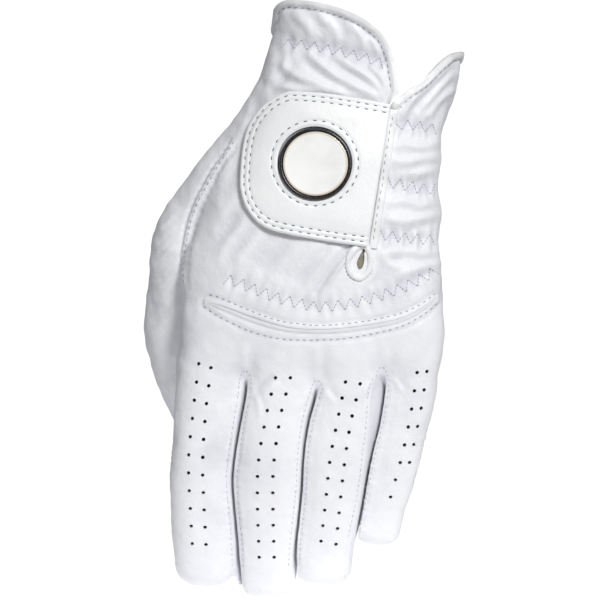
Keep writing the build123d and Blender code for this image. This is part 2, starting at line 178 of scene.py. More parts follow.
def ridge(d, at, width):
    """A soft ridge of height 1 where d is at, about width wide on each side."""
    return np.exp(-(((d - at) / width) ** 2))


def arc(run, length):
    """0 at both ends of a line and 1 in its middle."""
    return np.sin(math.pi * np.clip(run / length, 0, 1))


def waves(p, size, count=14, seed=0):
    """Gentle seeded unevenness of about unit height, whose bumps are about size across."""
    r = np.random.default_rng(seed)
    total = np.zeros(len(p))
    for _ in range(count):
        k = r.normal(size=3)
        k *= 2 * math.pi / (size * r.uniform(0.8, 1.7)) / np.linalg.norm(k)
        total += np.sin(p @ k + r.uniform(0, 2 * math.pi))
    return total / math.sqrt(count / 2)


# ---- form of the filled glove
# Hand: height, left edge, right edge, back, palm, squareness of the section.
SECTIONS = np.array([
    (30, -24.6, 49.2, -12.4, 34, 2.4),
    (20, -25.2, 49, -12.9, 33, 2.4),
    (8, -26.6, 48.6, -12, 32, 2.4),
    (0, -29.2, 47, -12.4, 31, 2.5),
    (-12, -33.2, 44.8, -13.6, 29.6, 2.5),
    (-22, -36.4, 40.8, -15.2, 28.2, 2.5),
    (-32, -40.6, 38.9, -16.6, 27, 2.6),
    (-42, -46.4, 38, -18, 25.6, 2.6),
    (-56, -53.4, 37.7, -19.4, 24, 2.7),
    (-74, -58.8, 38.3, -20.4, 21, 2.8),
    (-92, -60.2, 39.6, -20, 16.6, 2.9),
    (-108, -60.8, 38.8, -18.2, 11.6, 3),
    (-124, -62, 35.8, -15.4, 8.2, 3),
    (-140, -63, 31.6, -14, 6, 3),
], float)[::-1]

# Fingers and thumb: centre line, half width and half depth at each point.
DIGITS = {
    "index": [(-50, -3.5, -104, 11, 12), (-49.2, -4, -126, 13.7, 11.4), (-50.9, -4, -142, 13.3, 11.1),
        (-52, -3.6, -152, 12.8, 10.9), (-52.5, 2, -166, 12.6, 10.6), (-52.4, 8.5, -179, 12.3, 10.3),
        (-52.4, 14.6, -193, 11.4, 10.2)],
    "middle": [(-21.5, -4, -104, 11.5, 12.2), (-22.9, -4.6, -126, 14.5, 11.9),
        (-26.2, -5, -142, 14.1, 11.7), (-27.4, -5, -152, 14.1, 11.5), (-28.1, 0.4, -166, 13.8, 11.1),
        (-28.3, 7.5, -180, 12.9, 10.6), (-28.5, 15.6, -197.6, 11.3, 10.2)],
    "ring": [(3.5, -4, -104, 11.5, 12.2), (2.4, -4.3, -126, 14.6, 11.7), (0.3, -4.4, -142, 14.7, 11.3),
        (-1.6, -4.3, -152, 14, 11.2), (-3.7, 1.2, -166, 12.6, 10.9), (-5.2, 8, -179.5, 12, 10.4),
        (-6, 14.4, -193.2, 11.1, 10)],
    "little": [(28.2, -3.2, -104, 10.4, 11), (25.9, -3, -126, 10.9, 10.2), (22.8, -2.4, -142, 10.5, 9.2),
        (20.9, -2, -150, 10.3, 8.8), (18.2, 4.4, -162.6, 10, 8.3), (16.2, 9.6, -171.6, 9.1, 7.8),
        (14.9, 13.4, -179.4, 8.6, 7.4)],
    "thumb": [(-26, 6, -18, 8.5, 9), (-38, 8, -38, 12.4, 12), (-50.5, 11, -57, 15, 13.6),
        (-58.2, 12.4, -72, 14.6, 12.8), (-61.6, 14.4, -86, 13, 12), (-63.6, 18, -98, 12, 11.6),
        (-63.8, 20.5, -108.5, 11.7, 11.2), (-60.8, 25.8, -124, 10.6, 10.4),
        (-55.4, 32, -138.4, 9.6, 9.4)],
}
# The gap between neighbouring fingers at the back: X, Z and half width, from the crotch down.
GAPS = {
    "index_middle": [(-36.2, -121.8, 0.7), (-36.8, -129, 0.75), (-39.2, -142.5, 0.6), (-40.9, -154, 0.5),
        (-41.4, -163, 0.5), (-40.4, -177, 0.5), (-39.6, -189, 0.6), (-39.2, -212, 0.9)],
    "middle_ring": [(-9, -125.4, 0.6), (-10.4, -131, 0.65), (-12.6, -139, 0.6), (-14.2, -150, 0.5),
        (-15, -165, 0.5), (-16.2, -177, 0.5), (-17.4, -189, 0.6), (-18, -212, 0.9)],
    "ring_little": [(15.6, -120.4, 1.2), (14.4, -127, 2.3), (13, -139, 1.8), (11, -150, 1.1),
        (9.2, -161.7, 0.55), (7.4, -172, 0.5), (5.4, -183, 0.6), (3.4, -200, 0.8)],
}
# How far a gap leans to +X with depth.
GAP_SLANT = {"index_middle": 0.13, "middle_ring": 0.12, "ring_little": 0.14}
GAP_DEEP = 0.5  # half width of a gap below the leather's edge
KNUCKLE_Z = [-220, -191, -179, -166, -152, -142, -104, -60, 40]
MIDDLE_Y = [15, 14.5, 8, 1.6, -4, -4.4, -3.8, 2.5, 11.0]  # middle of the glove's depth at those heights
HAND_ENDS = (-120.5, 27.5)  # lower and upper end of the hand
BACK_DEPTH = 9.0  # from the middle of the depth to the back, where a gap is as wide as stated

# The lattice on which the form is a field of distances, below 0 inside.
lo = np.array([-82.0, -31.0, -212.0])
hi = np.array([53.0, 47.0, 29.0])
dims = np.ceil((hi - lo) / STEP).astype(int) + 1
gx, gy, gz = (lo[k] + STEP * np.arange(dims[k]) for k in range(3))


def lattice_range(axis, low, high):
    """The lattice's slice between two places on an axis."""
    return slice(*(int(np.clip((edge - lo[axis]) / STEP, 0, dims[axis])) for edge in (low, high)))


def section_at(z):
    """Smooth left, right, back, palm and squareness at heights z."""
    fine = np.arange(-150, 40, 0.5)
    kernel = np.hanning(25)
    kernel /= kernel.sum()
    rows = []
    for k in range(1, 6):
        raw = np.interp(fine, SECTIONS[:, 0], SECTIONS[:, k])
        rows.append(np.interp(z, fine, np.convolve(np.pad(raw, 12, mode="edge"), kernel, mode="valid")))
    return rows


def hand_field():
    """Distance to the hand's form at the lattice points."""
    u = np.abs((gx[:, None, None] - cx) / hx).astype(np.float32) + 1e-4
    v = np.abs((gy[None, :, None] - cy) / hy).astype(np.float32) + 1e-4
    n = square.astype(np.float32)
    r = (u**n + v**n) ** (1 / n)
    slope = np.sqrt((u ** (n - 1) / hx) ** 2 + (v ** (n - 1) / hy) ** 2) * r ** (1 - n)
    wall = ((r - 1) / slope).astype(np.float32)
    wall = smax(wall, (HAND_ENDS[0] - gz)[None, None, :].astype(np.float32), 9.0)
    return smax(wall, (gz - HAND_ENDS[1])[None, None, :].astype(np.float32), 0.5)


def digit_field(knots, grid, power=2.0):
    """Distance to a finger's rounded form at grid points, squarer for a power above 2."""
    line = smooth_curve(knots, count=22)
    best = np.full(grid[0].shape, 1e9, np.float32)
    for a, b in zip(line[:-1], line[1:]):
        ab = b[:3] - a[:3]
        ap = [g - a[k] for k, g in enumerate(grid)]
        t = np.clip(sum(ap[k] * ab[k] for k in range(3)) / (ab @ ab), 0, 1)
        wide = a[3] + t * (b[3] - a[3])
        deep = a[4] + t * (b[4] - a[4])
        ox = (ap[0] - t * ab[0]) * deep / wide
        rest = (ap[1] - t * ab[1]) ** 2 + (ap[2] - t * ab[2]) ** 2
        if power == 2.0:
            reach = np.sqrt(ox**2 + rest)
        else:
            reach = (np.abs(ox) ** power + rest ** (power / 2)) ** (1 / power)
        best = np.minimum(best, reach - deep)
    return best


def from_gap(px, py, pz, name):
    """Distance in X from the middle of a finger gap, and the gap's half width there."""
    line = gap_lines[name][::-1]
    depth = py - np.interp(pz, KNUCKLE_Z, MIDDLE_Y) + BACK_DEPTH
    opening = np.interp(pz, line[:, 1], line[:, 2])
    half_width = GAP_DEEP + (opening - GAP_DEEP) * np.clip(1 - depth / 7.0, 0, 1)
    lean = GAP_SLANT[name] * np.maximum(depth, 0)
    middle = np.interp(pz, line[:, 1], line[:, 0]) + lean + opening - half_width
    return px - middle, half_width


left, right, back, palm, square = section_at(gz)
cx, hx, cy, hy = (left + right) / 2, (right - left) / 2, (back + palm) / 2, (palm - back) / 2
field = hand_field()

DIGIT_REACH = 20.0  # a digit's field is worked out this far round its centre line
for name, knots in DIGITS.items():
    k = np.array(knots, float)
    part = tuple(lattice_range(a, k[:, a].min() - DIGIT_REACH, k[:, a].max() + DIGIT_REACH) for a in range(3))
    grid = np.meshgrid(gx[part[0]], gy[part[1]], gz[part[2]], indexing="ij", sparse=True)
    grid = np.broadcast_arrays(*[g.astype(np.float32) for g in grid])
    if name == "thumb":
        blend_in = np.interp(gz[part[2]], [-100, -78, -45], [1.2, 2.4, 6.0]).astype(np.float32)
        field[part] = smin(field[part], digit_field(knots, grid), blend_in)
    else:
        field[part] = smin(field[part], digit_field(knots, grid, 2.5), 4.0)

gap_lines = {name: smooth_curve(knots, count=40) for name, knots in GAPS.items()}
for name, line in gap_lines.items():
    wide = lattice_range(0, line[:, 0].min() - 9, line[:, 0].max() + 16)
    low = slice((gz < line[0, 1] + 6).sum())
    px, py, pz = np.meshgrid(gx[wide], gy, gz[low], indexing="ij", sparse=True)
    off, half_width = from_gap(px, py, pz, name)
    top = np.maximum(line[0, 1] - 0.5 * np.maximum(py + 15.0, 0), min(-130.0, line[0, 1] - 3))
    slab = np.hypot(off, np.maximum(pz - top, 0)) - half_width
    field[wide, :, low] = smax(field[wide, :, low], -slab.astype(np.float32), 0.8)


# ---- mesh of the form
def surface(f):
    """Quads over the zero level of a lattice field, with every vertex near the level."""
    inside = f < 0
    nx, ny, nz = f.shape
    count = np.zeros((nx - 1, ny - 1, nz - 1), np.uint8)
    corners = [(a, b, c) for a in (0, 1) for b in (0, 1) for c in (0, 1)]
    for a, b, c in corners:
        count += inside[a:nx - 1 + a, b:ny - 1 + b, c:nz - 1 + c]
    cell = np.argwhere((count > 0) & (count < 8))
    ids = np.full(count.shape, -1, np.int32)
    ids[tuple(cell.T)] = np.arange(len(cell))
    total = np.zeros((len(cell), 3))
    hits = np.zeros(len(cell))
    for i, p in enumerate(corners):
        for q in corners[i + 1:]:
            if sum(abs(s - t) for s, t in zip(p, q)) != 1:
                continue
            fp = f[tuple((cell + p).T)]
            fq = f[tuple((cell + q).T)]
            crossed = (fp < 0) != (fq < 0)
            t = np.where(crossed, fp / np.where(crossed, fp - fq, 1), 0)[:, None]
            total += np.where(crossed[:, None], np.array(p) + t * (np.array(q) - np.array(p)), 0)
            hits += crossed
    verts = lo + STEP * (cell + total / hits[:, None])
    quads = []
    for axis in range(3):
        b, c = [k for k in range(3) if k != axis]
        ahead = [slice(None)] * 3
        behind = [slice(None)] * 3
        ahead[axis], behind[axis] = slice(1, None), slice(None, -1)
        at = np.argwhere(inside[tuple(ahead)] != inside[tuple(behind)])
        at = at[(at[:, b] > 0) & (at[:, c] > 0) & (at[:, b] < f.shape[b] - 1) & (at[:, c] < f.shape[c] - 1)]
        ring = []
        for ob, oc in ((-1, -1), (0, -1), (0, 0), (-1, 0)):
            spot = at.copy()
            spot[:, b] += ob
            spot[:, c] += oc
            ring.append(ids[tuple(spot.T)])
        ring = np.stack(ring, axis=1)
        outwards = inside[tuple(at.T)]
        if axis == 1:
            outwards = ~outwards
        ring[~outwards] = ring[~outwards][:, ::-1]
        quads.append(ring)
    return verts, np.vstack(quads)


def sample(f, p):
    """Field value at points, between lattice points."""
    q = np.clip((p - lo) / STEP, 0, np.array(f.shape) - 1.001)
    i = q.astype(int)
    t = q - i
    value = 0
    for a in (0, 1):
        for b in (0, 1):
            for c in (0, 1):
                shares = [t[:, k] if end else 1 - t[:, k] for k, end in enumerate((a, b, c))]
                value = value + shares[0] * shares[1] * shares[2] * f[i[:, 0] + a, i[:, 1] + b, i[:, 2] + c]
    return value


def gradient(f, p):
    """Unit direction in which a field grows at points, and how fast it does."""
    reach = STEP * 0.8
    g = np.stack([sample(f, p + step) - sample(f, p - step) for step in reach * np.eye(3)], axis=1)
    steep = np.linalg.norm(g, axis=1)
    return g / (steep[:, None] + 1e-9), steep / (2 * reach)


def vertex_normals(verts, tris):
    face = np.cross(verts[tris[:, 1]] - verts[tris[:, 0]], verts[tris[:, 2]] - verts[tris[:, 0]])
    total = np.zeros_like(verts)
    for k in range(3):
        np.add.at(total, tris[:, k], face)
    return total / (np.linalg.norm(total, axis=1, keepdims=True) + 1e-12)


V, Q = surface(field)
edges = np.vstack([Q[:, [0, 1]], Q[:, [1, 2]], Q[:, [2, 3]], Q[:, [3, 0]]])
for _ in range(4):
    total = np.zeros_like(V)
    hits = np.zeros(len(V))
    for a, b in ((0, 1), (1, 0)):
        np.add.at(total, edges[:, a], V[edges[:, b]])
        np.add.at(hits, edges[:, a], 1)
    V = 0.4 * V + 0.6 * total / hits[:, None]
    g, steep = gradient(field, V)
    V = V - g * np.clip(sample(field, V) / np.maximum(steep, 0.3), -0.4, 0.4)[:, None]
T = np.vstack([Q[:, [0, 1, 2]], Q[:, [0, 2, 3]]])


# ---- seams and openings, in X and Z
# rims of the cuff: the high left half and the pointed flap on the back, and the palm
CUFF_RIM = smooth_curve([(-27.2, 16.6), (-25.4, 20.4), (-21.4, 22.6), (-14.2, 22.2), (-6.9, 20.8),
    (3, 17.6), (10.5, 13.6), (16.6, 8.2), (20, 0.6), (21.3, -6.6), (22.2, -13.2)], spacing=1)
FLAP_RIM = smooth_curve([(20.6, -16.8), (25.4, -12.7), (31.5, -8.3), (38.4, -1.2), (42.8, 2),
    (47.4, 3.6)], spacing=1)
PALM_RIM = smooth_curve([(-27.2, 16.6), (-20, 7), (-10, -3.6), (4, -12.6), (20, -17.4), (33, -11.4),
    (42, -1.6), (47.4, 3.6)], spacing=1)
FAR_OUT = [(70, 3.6), (70, 60), (-70, 60), (-70, 16.6)]
OVER_BACK = np.vstack([CUFF_RIM, FLAP_RIM, FAR_OUT])
OVER_PALM = np.vstack([PALM_RIM, FAR_OUT])
# the slit under the tab, the teardrop at its foot, and the piping round that
SLIT = smooth_curve([(21.6, -14.6), (18, -19.5), (14.6, -36), (9.6, -68), (8.7, -74)], spacing=1.5)
TEARDROP = smooth_curve([(8.7, -73.4), (7.2, -75.4), (6.1, -78.2), (6.9, -80.6), (8.3, -79.8),
    (9, -76.8)], spacing=0.4, closed=True)
TEARDROP_RIM = smooth_curve([(8, -71.6), (4.6, -73.8), (2.9, -77.8), (3.9, -82), (7.2, -83.9),
    (10.4, -81.4), (11.4, -77.2), (10.6, -73.2)], spacing=0.5, closed=True)
# the crescent over the knuckles, and the rows of stitches above and below it
UPPER_LIP = smooth_curve([(-50.6, -92.9), (-44, -94.6), (-34, -98.2), (-24, -101.4), (-16, -102.9),
    (-4, -103.1), (10, -101.6), (23, -99), (31, -95.2), (36.6, -91.4)], spacing=1)
LOWER_LIP = smooth_curve([(-50.6, -93.3), (-44.6, -97.2), (-34, -102.2), (-24, -104.8), (-16, -105.6),
    (-4, -105.6), (8, -104.4), (23, -101.2), (31, -97), (36.6, -91.8)], spacing=1)
LIPS = np.vstack([UPPER_LIP, LOWER_LIP[::-1]])
UPPER_STITCH = smooth_curve([(-50.3, -89.9), (-45.3, -91.4), (-33.8, -96.4), (-24.2, -99.8),
    (-16.1, -101.2), (-7.3, -101.8), (3.3, -101), (10.6, -100), (18.4, -98.4), (25.7, -96.2), (31.7, -93),
    (36.8, -89.2)], spacing=1)
LOWER_STITCH = smooth_curve([(-52.4, -93.9), (-49.2, -96.4), (-43.4, -99.8), (-33.8, -104.1),
    (-24.2, -106.6), (-15, -107.3), (-2.3, -107), (5.8, -106.1), (13.4, -104.7), (20.7, -102.9),
    (26.9, -100.4), (33.6, -96.2), (37.4, -93)], spacing=1)
# the seam round the root of the thumb, on the back and on the palm
THUMB_SEAM = smooth_curve([(-39.9, -30.3), (-42.4, -34.6), (-46.8, -40.9), (-51.3, -48.8), (-54.7, -55.1),
    (-57.2, -61.8), (-58.6, -68.7), (-59.6, -75.3), (-59.9, -82), (-59.4, -90)], spacing=1)
THUMB_SEAM_PALM = smooth_curve([(-39.9, -30.3), (-31, -38), (-26.5, -52), (-28.5, -70), (-38, -86),
    (-50, -97), (-59.3, -104)], spacing=1)
BESIDE_THUMB = [(-59.3, -104), (-58, -131), (-90, -131), (-90, -30.3)]
THUMB_BACK = np.vstack([THUMB_SEAM, BESIDE_THUMB])
THUMB_PALM = np.vstack([THUMB_SEAM_PALM, BESIDE_THUMB])
# the closure tab from its top right corner round to its bottom right one, the band along its root, and
# the stitches round the teardrop
TAB_EDGE = smooth_curve([(19, -18), (10, -16.4), (-4.6, -14.1), (-16.9, -13.2), (-20.4, -13.6),
    (-26.5, -16.9), (-31.9, -22.8), (-35.1, -29.6), (-36.7, -37.1), (-37.5, -46.8), (-37.2, -51.8),
    (-35.6, -57.2), (-31.9, -62.4), (-26.9, -65.6), (-20.4, -67.4), (-9.6, -69.4), (0, -70.9),
    (9.8, -72.2)], spacing=0.8)
BAND_LINE = smooth_curve([(21.6, -17.6), (20, -22), (18.2, -34), (15.8, -50), (13.2, -66), (12.2, -72.6)],
    spacing=0.9)
TEARDROP_ROW = smooth_curve([(8, -70.4), (3.6, -73), (1.7, -77.8), (2.8, -82.8), (7, -85.1),
    (11.3, -82.2), (12.6, -77.2)], spacing=0.5)
# the hook tape under the tab, and the loop patch that it grips
HOOK_OUTLINE = smooth_curve([(-24, -21.5), (-2, -21.5), (3, -23), (1, -42), (-2, -61.5), (-4, -63),
    (-21.5, -61), (-26.5, -58), (-29.5, -53), (-29.5, -31), (-28.5, -25)], spacing=1.5, closed=True)
LOOP_OUTLINE = smooth_curve([(-25, -20.5), (4, -20.5), (7.2, -22.5), (5, -42), (2, -62), (0, -64),
    (-22, -62.5), (-28, -59), (-31, -54), (-31, -30), (-29.5, -23)], spacing=1.5, closed=True)

# Elastic under the leather: a centre line, the depth of the zigzag on each side of it, and its pitch.
ZIGZAGS = {
    "wrist": ([(-22.4, 6.2), (-16.5, 5.7), (-9.8, 4.6), (-3.2, 3.1), (3.2, 1.7), (9.6, 0.2),
        (16.8, -2.4)], 1.9, 5),
    "side_upper": ([(18.6, -26.6), (24, -25.4), (30, -25.8), (37.2, -27)], 2, 4.9),
    "side_middle": ([(15.4, -47.4), (20, -47.8), (26, -48.8), (31, -49.8), (36.6, -49.6)], 2.2, 4.9),
    "side_lower": ([(12.4, -67.2), (18, -67.8), (24, -68.5), (30, -69), (36.4, -69.4)], 2.1, 5),
    "knuckle": ([(-44.2, -84.2), (-39.5, -85.2), (-34.8, -87.2), (-30, -89.1), (-25.4, -90.8),
        (-20.3, -92.4), (-15.3, -93.5), (-10, -94.7), (-4.5, -94.6), (0.5, -94), (6, -93.1), (10.5, -92),
        (15.5, -90.4), (20, -88.8), (24.5, -87.1), (28.8, -85), (32.5, -83.1), (36.8, -80.6)], 2.1, 4.75),
}
ZIG_LINES = {name: smooth_curve(points, spacing=0.8) for name, (points, _, _) in ZIGZAGS.items()}

# Air holes: a column's line down the finger and how many it has.
HOLES = {
    "index": [([(-53.8, -116.4), (-56.2, -136), (-57.8, -153.2), (-57.4, -170), (-56.8, -185.9)], 11),
        ([(-49.2, -117.9), (-51.3, -136), (-52.4, -154.4), (-52.1, -170), (-51.5, -186.2)], 11)],
    "middle": [([(-24.7, -121.7), (-28.4, -137), (-31.3, -155), (-31.6, -172), (-31.1, -191.2)], 12),
        ([(-19, -121.7), (-22.8, -136.5), (-25.4, -155), (-25.7, -172), (-25.3, -191.2)], 12)],
    "ring": [([(1.9, -123.3), (-1.2, -138.2), (-4, -153), (-5.7, -170), (-7.3, -184.9)], 11),
        ([(7.5, -124), (4, -138.2), (1.7, -153), (-0.1, -170), (-1.5, -186.1)], 11)],
    "little": [([(29.2, -119.8), (26.9, -134.8), (24.2, -148.6), (19.4, -167.8)], 8),
        ([(33, -119.4), (30.7, -134.2), (28, -147.8), (26.5, -154.2)], 6)],
}
HOLE_R = 0.72  # radius of an air hole
hole_at = np.vstack([smooth_curve(line, count=count) for rows in HOLES.values() for line, count in rows])

# Soft folds in the back: a line, the width of the ridge, its height; the hollow lies on the line's left.
FOLDS = [
    # below the teardrop and the tab
    ([(-9, -92), (-5.4, -87), (-1.4, -80.6), (6.4, -70.6)], 1.05, 1.7),
    ([(-14, -88), (-8.6, -80.4), (-0.6, -72)], 1.7, 0.8),
    ([(-6, -71), (-14, -78), (-20, -82)], 1.8, 0.4),
    ([(12, -74), (13, -80), (11, -86)], 1.1, 0.4),
    ([(13.4, -73), (19, -78.6), (26, -81.6)], 1.4, 0.5),
    ([(-47, -78), (-43, -70), (-36, -62)], 2.2, 0.6),
    ([(-40, -81), (-38, -76), (-30, -66.5)], 1.9, 0.55),
    ([(-27, -85), (-22, -78), (-14, -71)], 1.9, 0.5),
    # beside the tab, towards the thumb
    ([(-38, -34), (-44, -46), (-47, -58)], 2, 0.5),
    ([(-36.4, -26), (-42, -37), (-49, -52)], 1.6, 0.45),
    ([(-39, -48), (-46, -62), (-50, -76)], 2.4, 0.45),
    ([(-34, -14), (-37, -24), (-41, -31)], 1.5, 0.5),
    # on the cuff, running together at the top of the tab's root
    ([(-27.5, 6), (-26, -4), (-30, -14)], 1.8, 0.5),
    ([(-20, 2), (-23, -5), (-29, -9)], 1.5, 0.6),
    ([(17, -15.6), (9, -12), (0, -8), (-8, -2), (-13, 4)], 1.6, 1.5),
    ([(17.4, -14.4), (12, -8.4), (4.5, -3.6), (-3, 2)], 1.3, 1.2),
    ([(18, -12.6), (14.6, -6.4), (9.5, -1)], 1, 0.8),
    ([(15, -16.4), (4, -13), (-8, -10), (-18, -6), (-24, 1)], 1.8, 1.3),
    ([(6, -15.4), (-6, -13), (-17, -11.6), (-27, -10)], 1.5, 1),
    # between the hem and the elastic of the cuff
    ([(-18.5, 18), (-13.5, 13.5), (-11, 8)], 1.9, 0.7),
    ([(-8.5, 16), (-3, 12), (-0.5, 6)], 1.8, 0.8),
    ([(4, 12.4), (8, 8), (9.5, 3)], 1.3, 0.7),
    ([(10, 8.6), (13.5, 4.6), (14.5, 0.6)], 1.1, 0.6),
    # on the pointed flap
    ([(43, 0.5), (36, -8), (27, -17), (22.6, -23.6)], 1.4, 1.3),
    ([(44.4, -4), (38, -11), (31, -19)], 1.5, 1.2),
    ([(44, -10.5), (38, -16), (33, -23)], 1.4, 1.1),
    ([(36, -6), (29, -13), (25, -19)], 1.1, 0.7),
    # between the elastic rows at the outside edge
    ([(38, -31), (31, -34), (24, -33), (19, -35)], 1.6, 0.8),
    ([(37.6, -37), (31, -38), (25, -40), (19, -39)], 1.6, 0.8),
    ([(37, -42.5), (30, -44), (22, -43.5)], 1.4, 0.6),
    ([(37, -54), (30, -56), (23, -54.5), (17, -56)], 1.5, 0.7),
    ([(37.6, -60), (31, -61), (24, -62.6), (16.4, -61.4)], 1.6, 0.8),
    ([(38, -73.6), (31, -74.5), (24, -73.4), (16, -74.8)], 1.4, 0.65),
    ([(38.8, -78), (32, -79.4), (26, -81.6), (20, -83.2)], 1.5, 0.8),
    # gathered across the side rows
    ([(21, -22.4), (22.4, -26), (21.4, -31)], 0.9, 0.5),
    ([(26.6, -21), (27.6, -25.6), (26.4, -31)], 0.9, 0.55),
    ([(32, -22), (32.8, -26), (31.8, -31.6)], 0.9, 0.5),
    ([(18.4, -43.6), (19.6, -48), (18.2, -53)], 0.9, 0.5),
    ([(23.6, -43.4), (24.8, -48.4), (23.6, -54)], 1, 0.6),
    ([(29, -44.6), (30, -49.4), (29, -55)], 1, 0.55),
    ([(34.4, -45), (35.2, -49.6), (34.2, -54.6)], 0.9, 0.5),
    ([(16.6, -63.6), (18, -68), (16.8, -72.6)], 0.9, 0.5),
    ([(22, -64), (23.2, -68.4), (22.2, -73.4)], 1, 0.6),
    ([(27.6, -64.6), (28.8, -69), (27.8, -74)], 1, 0.55),
    ([(33.4, -65), (34.4, -69.4), (33.4, -74)], 0.9, 0.5),
    # over the knuckles and between them
    ([(-36, -108.5), (-36.8, -114), (-36.4, -121)], 1.8, 0.4),
    ([(-9.5, -109), (-9.6, -115), (-9, -124)], 1.8, 0.4),
    ([(15.5, -107.5), (16.8, -113), (17, -118)], 1.7, 0.4),
    ([(-25, -120.4), (-29.6, -124), (-34.4, -128.4)], 1.5, -0.8),
    ([(-33.8, -125.5), (-31.4, -131), (-30.4, -137)], 1, 0.35),
    ([(-12, -126), (-14, -131), (-16.6, -134)], 1.1, 0.5),
    ([(-6.4, -125.5), (-4, -129.4), (-1.4, -131)], 1.1, 0.45),
    ([(13, -122), (9.6, -126), (7.6, -131)], 1.1, 0.45),
    ([(20, -121.5), (22.4, -125.6), (24.6, -127.6)], 1, 0.4),
]
PALM_CREASES = [  # a line, the width of the crease, its depth
    ([(-44, -40), (-34, -58), (-31, -78), (-40, -96)], 1.5, 0.7),
    ([(-44, -88), (-24, -84), (0, -78), (18, -66)], 1.4, 0.55),
    ([(33, -97), (14, -96), (-8, -100), (-20, -110)], 1.4, 0.55),
    ([(-20, -20), (0, -24), (24, -24)], 1.6, 0.4),
    ([(-26, -10), (-8, -18), (12, -24)], 1.4, 0.35),
]
# Creases of a finger joint: the height of their middle, and the finger's left and right side.
JOINT_CREASES = {"index": (-152, -66, -41), "middle": (-156, -41, -14.5), "ring": (-153, -14.5, 10),
                 "little": (-149, 10.5, 34)}
# Elastic's effect on the leather: height and reach of its puckers, and how deep it draws the leather in.
PUCKERS = {"wrist": (0.24, 4.6, 1.1), "knuckle": (0.3, 4.4, 0.45)}
SIDE_PUCKERS = (0.3, 4.4, 0.95)
SIDE_ROWS = (-27, -69.6)  # from the top elastic at the outside edge to the lowest
THUMB_WRINKLES_Z = (-62, -66, -69.4, -73, -76.2, -79.6, -83.2, -87, -91.4, -97)


# ---- leather relief
def on_back(p):
    """1 on the back of the glove and 0 on the palm, with a soft change along the sides."""
    return ease((np.interp(p[:, 2], KNUCKLE_Z, MIDDLE_Y) - p[:, 1]) / 5.0 + 0.5)


def gap_room(p, name):
    """Distance in X from the edge of a finger gap, above 0 on its right and below 0 on its left."""
    off, half_width = from_gap(p[:, 0], p[:, 1], p[:, 2], name)
    return np.sign(off) * (np.abs(off) - half_width)


def rim_distance(p):
    """Distance to the cuff's rim on the side of the glove that a point is on."""
    b = on_back(p)
    from_back = np.abs(outline_distance(p[:, 0], p[:, 2], OVER_BACK))
    return b * from_back + (1 - b) * np.abs(outline_distance(p[:, 0], p[:, 2], OVER_PALM))


def near_line(line, pad):
    """Which vertices are close to a line in X and Z."""
    (x0, z0), (x1, z1) = line.min(axis=0) - pad, line.max(axis=0) + pad
    return (x > x0) & (x < x1) & (z > z0) & (z < z1)


def elastic_relief(relief):
    """The leather is drawn in and puckered along every elastic, and swells between those at the outside."""
    for name, (_, _, pitch) in ZIGZAGS.items():
        line = ZIG_LINES[name]
        close = near_line(line, 16)
        d, run, side = to_line(x[close], z[close], line)
        ends = ease(run / 3 + 0.2) * ease((curve_length(line) - run) / 3 + 0.2)
        phase = 2 * math.pi * run / pitch + 0.9 * np.sin(run * 0.31) + 0.4 * side * np.sin(run * 0.83)
        height, reach, drawn = PUCKERS.get(name, SIDE_PUCKERS)
        pucker = height * np.sin(phase) * ridge(d, 0, reach)
        relief[close] += (pucker - drawn * ridge(d, 0, 3.4)) * ends * backness[close]
    top, low = SIDE_ROWS
    turn = np.clip((top - z) / ((top - low) / 2), 0, 2) * math.pi
    between = (z < top) & (z > low)
    swell = 1.2 * np.sin(turn) ** 2 * ease((x - 14) / 8) * between
    relief += swell * ease((45 - x) / 6) * ease(backness * 1.2)


def fold_relief(relief):
    for points, width, height in FOLDS:
        line = smooth_curve(points, spacing=1.5)
        close = near_line(line, width * 5) & (backness > 0.01)
        d, run, side = to_line(x[close], z[close], line)
        off = d * side
        fold = height * ridge(off, 0, width) - 0.75 * height * ridge(off, 1.9 * width, 1.1 * width)
        relief[close] += fold * arc(run, curve_length(line)) ** 0.6 * backness[close]
    for points, width, deep in PALM_CREASES:
        line = smooth_curve(points, spacing=1.5)
        d, run, _ = to_line(x, z, line)
        crease = deep * ridge(d, 0, width) - 0.4 * deep * ridge(d, 2.4, 1.4)
        relief -= crease * arc(run, curve_length(line)) ** 0.6 * (1 - backness)


def thumb_relief(relief):
    """The raised seam round the root of the thumb, and curved wrinkles on its ball."""
    d, run, side = to_line(x, z, THUMB_SEAM)
    ends = ease(run / 4 + 0.1) * ease((curve_length(THUMB_SEAM) - run) / 10)
    raised = 0.85 * np.exp(-(d**4)) - 0.6 * ridge(d * side, -1.9, 0.7) - 0.4 * ridge(d * side, 2.0, 0.8)
    relief += raised * ends * backness * (1 + 0.25 * np.sin(run * 2 * math.pi / 3.1))
    for k, at_z in enumerate(THUMB_WRINKLES_Z):
        bow = [(-73.5, at_z - 6.5), (-69, at_z - 3.6), (-65.2, at_z + 0.2), (-61.8, at_z + 5)]
        line = smooth_curve(bow, spacing=1.0)
        d, run, _ = to_line(x, z, line)
        relief += (0.62, 0.34, 0.5)[k % 3] * ridge(d, 0, 1.15) * arc(run, curve_length(line)) * (x < -60)


